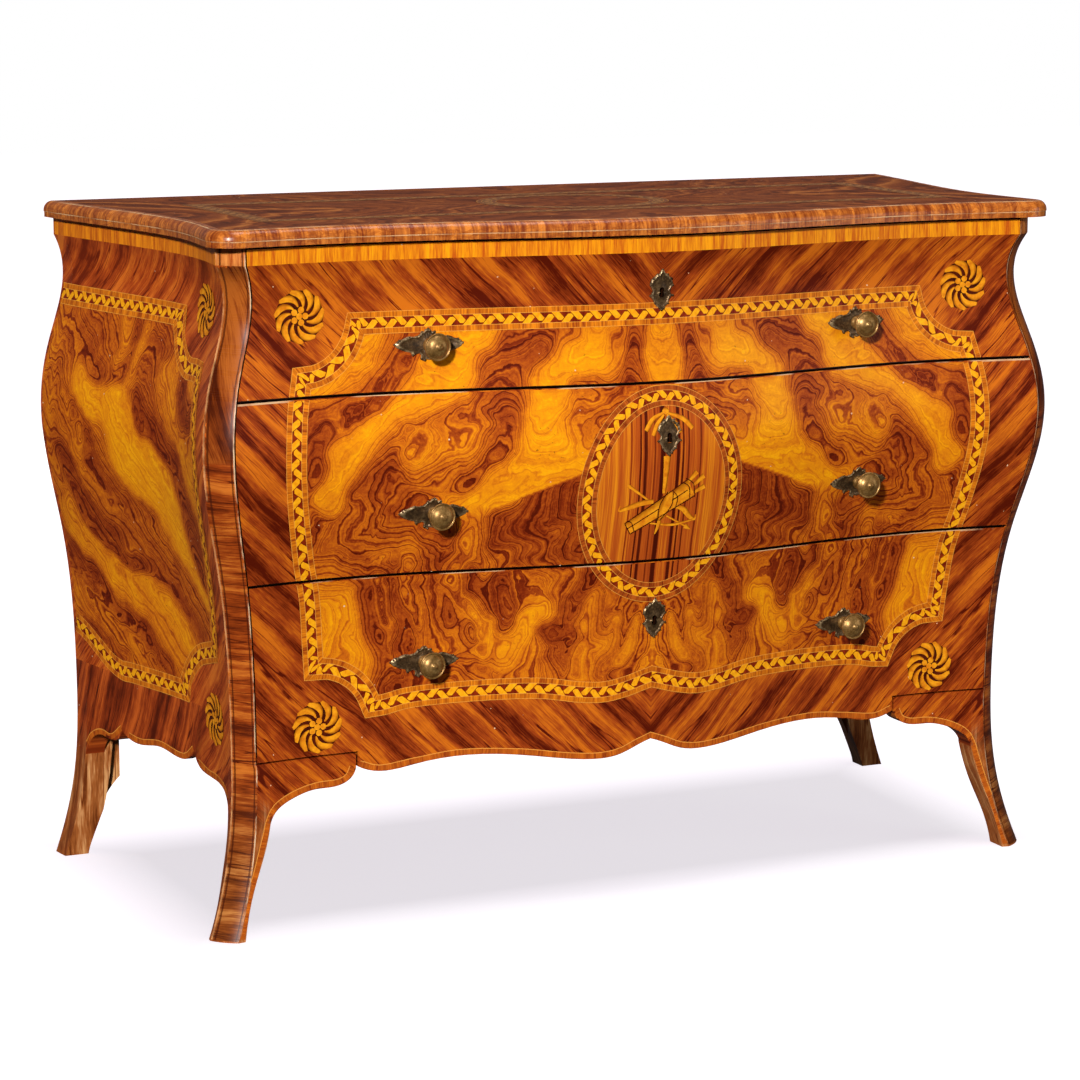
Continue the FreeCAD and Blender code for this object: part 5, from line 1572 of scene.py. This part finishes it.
def cast_plate(name, edge, hole, beads, middle, centre, drawer):
    outer, inner = polar(edge, middle), polar(hole, middle)
    heights = []

    def place(u, v):
        angle = math.pi / 2 - 2 * math.pi * u
        reach = (inner(angle) + (outer(angle) - inner(angle)) * v) * MM
        heights.append(plate_height(v, angle))
        x = centre[0] + reach * math.cos(angle)
        z = centre[1] + middle * MM + reach * math.sin(angle)
        return front_plane(x, z), (u, v)

    plate = new_grid(name, PLATE_STEPS, PLATE_ROWS, place)
    press_onto(plate, nodes[drawer + "_drawer_front"], "y", True, 0.0)
    for vertex, height in zip(plate.data.vertices, heights):
        vertex.co.y -= height
    drops = []
    for x, z, radius in beads + [(-x, z, r) for x, z, r in beads if x]:
        bpy.ops.object.select_all(action="DESELECT")
        bpy.ops.mesh.primitive_uv_sphere_add(segments=12, ring_count=8, radius=radius * MM)
        drop = bpy.context.object
        spot = (centre[0] + x * MM, centre[1] + z * MM)
        near = min(plate.data.vertices, key=lambda v: (v.co.x - spot[0]) ** 2 + (v.co.z - spot[1]) ** 2)
        for vertex in drop.data.vertices:
            vertex.co += Vector((spot[0], near.co.y + 0.0002, spot[1]))
        drops.append(drop)
    plate = gather(name, [plate] + drops)
    merge_doubles(plate, SEAM)
    plate.data.shade_smooth()
    return plate


plate_bronze = bronze_finish("plate_bronze", (50, 34, 16), (86, 62, 36), (130, 102, 66), True)
for drawer in DRAWERS:
    plates = []
    for hand in ("left", "right"):
        centre = middle_of("%s_drawer_knob_%s" % (drawer, hand))
        name = "%s_%s_plate" % (drawer, hand)
        plates.append(cast_plate(name, PLATE_EDGE, PLATE_HOLE, PLATE_BEADS, 0, centre, drawer))
    plates = gather(drawer + "_cast_backplates", plates)
    centre = middle_of(drawer + "_drawer_escutcheon")
    name = drawer + "_cast_escutcheon"
    escutcheon = cast_plate(name, KEY_EDGE, KEY_HOLE, KEY_BEADS, KEY_MIDDLE, centre, drawer)
    for piece, node in ((plates, "_drawer_backplates"), (escutcheon, "_drawer_escutcheon")):
        piece.data.materials.append(plate_bronze)
        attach(piece, drawer + "_drawer")
        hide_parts(drawer + node)


# Locks and nuts: forged iron behind the drawer fronts, brown with light rust. Each bolt shoots up out of
# its lock case, and each knob's rod is held by a square nut.
def iron_finish():
    finish, tree, shader = new_finish("forged_iron")
    rust = noise(tree, joined(tree, *place_on_piece(tree)), 140, 5, 0.65)
    colour = ramp(tree, rust, (0.35, (62, 56, 52)), (0.6, (104, 88, 76)), (0.75, (122, 82, 54)))
    polish(tree, shader, colour, span(tree, rust, 0.3, 0.7, 0.4, 0.65), rust, 0.0004)
    shader.inputs["Metallic"].default_value = 0.8
    return finish


forged_iron = iron_finish()
for drawer in DRAWERS:
    for fitting in ("_drawer_lock_case", "_drawer_lock_bolt", "_drawer_knob_nuts"):
        dress(forged_iron, drawer + fitting)

# Stage: a studio floor that is plain white, apart from a soft grey shadow between the feet that is painted
# into its glow.
# The floor glows white for the camera and dimly in reflections, and throws little light back on to the
# chest.
PAINTED_SHADOW_MIDDLE = (0, 0.05)
PAINTED_SHADOW_HALF = (0.54, 0.18)
PAINTED_SHADOW_EDGE = 0.17
PAINTED_SHADOW_GLOW, FLOOR_GLOW = 0.39, 0.62
DIM_FLOOR, LIT_FLOOR = (0.14, 0.14, 0.14, 1), (0.88, 1.0, 0.87, 1)
bpy.ops.object.select_all(action="DESELECT")
bpy.ops.mesh.primitive_plane_add(size=30, location=(0, 0, 0))
floor = bpy.context.object
floor.name = "studio_floor"
floor_finish, tree, shader = new_finish("white_floor")
shader.inputs["Roughness"].default_value = 0.9
shader.inputs["Specular IOR Level"].default_value = 0.0
# the glow is tinted lavender, which shows only in the painted shadow, where the glow is turned down below
# white
glow = add(tree, "Emission", {"Color": (1.0, 0.94, 1.01, 1), "Strength": 1.85})
dim = add(tree, "Emission", {"Color": (1, 1, 1, 1), "Strength": 0.08})
light_path = add(tree, "LightPath")
seen = light_path.outputs["Is Camera Ray"]
tree.links.new(blended(tree, seen, DIM_FLOOR, LIT_FLOOR), shader.inputs["Base Color"])
# painted shadow: the glow is turned down inside a box round the chest's footprint, fading out over its soft
# edge
past = []
for reach, middle, half in zip(place_on_piece(tree), PAINTED_SHADOW_MIDDLE, PAINTED_SHADOW_HALF):
    reach = calc(tree, "ABSOLUTE", calc(tree, "SUBTRACT", reach, middle))
    past.append(calc(tree, "SUBTRACT", reach, half))
outside_painted_shadow = calc(tree, "MAXIMUM", *past)
keep = calc(tree, "MULTIPLY", seen, span(tree, outside_painted_shadow, 0, PAINTED_SHADOW_EDGE, PAINTED_SHADOW_GLOW, FLOOR_GLOW))
mix = add(tree, "MixShader", {0: keep, 1: shader.outputs[0], 2: glow.outputs[0]})
# in reflections the floor shows only as a dim glow
mix = add(tree, "MixShader", {0: light_path.outputs["Is Glossy Ray"], 1: mix.outputs[0], 2: dim.outputs[0]})
tree.links.new(mix.outputs[0], tree.nodes["Material Output"].inputs[0])
floor.data.materials.append(floor_finish)

# Surround: white where the camera looks, dim elsewhere, with a sheen from behind on the top.
ROOM_LEVEL = 0.06
world = bpy.data.worlds.new("studio")
bpy.context.scene.world = world
world.use_nodes = True
tree = world.node_tree
background = tree.nodes["Background"]
light_path = add(tree, "LightPath")
way = add(tree, "SeparateXYZ", {0: add(tree, "TexCoord").outputs["Generated"]}).outputs
room = span(tree, way[1], 0.2, 0.8, 0.03, 0.16)
glossy = light_path.outputs["Is Glossy Ray"]
sheen = calc(tree, "MULTIPLY", glossy, calc(tree, "SUBTRACT", room, ROOM_LEVEL))
level = calc(tree, "ADD", ROOM_LEVEL, sheen)
camera_ray = light_path.outputs["Is Camera Ray"]
level = calc(tree, "MAXIMUM", level, camera_ray)
tree.links.new(level, background.inputs["Strength"])
background.inputs["Color"].default_value = (1, 1, 1, 1)


def soft_box(name, size, place, aim, power):
    lamp = bpy.data.lights.new(name, "AREA")
    lamp.shape = "RECTANGLE"
    lamp.size, lamp.size_y = size
    lamp.energy = power
    holder = bpy.data.objects.new(name, lamp)
    bpy.context.collection.objects.link(holder)
    holder.location = place
    holder.rotation_euler = (Vector(aim) - Vector(place)).to_track_quat("-Z", "Y").to_euler()
    return holder


CHEST_MIDDLE = (0, -0.1, 0.5)
CHEST_BACK = (0, 0.29, 0.45)
key_light = soft_box("key_light", (0.6, 0.6), (-4.2, -5.9, 3.2), CHEST_MIDDLE, 700)
soft_box("top_light", (1.8, 1.2), (0.2, -0.4, 3.6), CHEST_MIDDLE, 38)
soft_box("fill_light", (2.5, 2.0), (3.4, -3.2, 1.4), CHEST_MIDDLE, 34)
soft_box("back_light", (2.4, 0.6), (0.8, 4.2, 0.5), CHEST_BACK, 46)
# the key light misses the floor and casts no shadow there, so that only the soft shadow straight under the
# chest, painted into the floor's glow, is seen
unlit = bpy.data.collections.new("not_lit_by_key")
unlit.objects.link(floor)
key_light.light_linking.receiver_collection = unlit
for entry in unlit.collection_objects:
    entry.light_linking.link_state = "EXCLUDE"

# Camera: stands to the left of the chest and a little above its top, as the photograph does.
LENS_PIXELS = 3425.4
FRAME_PIXELS = 1080
lens = bpy.data.cameras.new("camera")
lens.sensor_width = 36
lens.lens = LENS_PIXELS / FRAME_PIXELS * lens.sensor_width
camera = bpy.data.objects.new("camera", lens)
bpy.context.collection.objects.link(camera)
camera.location = (-1.918, -4.1365, 1.241)
camera.rotation_euler = (math.radians(90 - 10.03), 0, math.radians(-24.33))
bpy.context.scene.camera = camera
bpy.context.scene.view_settings.view_transform = "Standard"
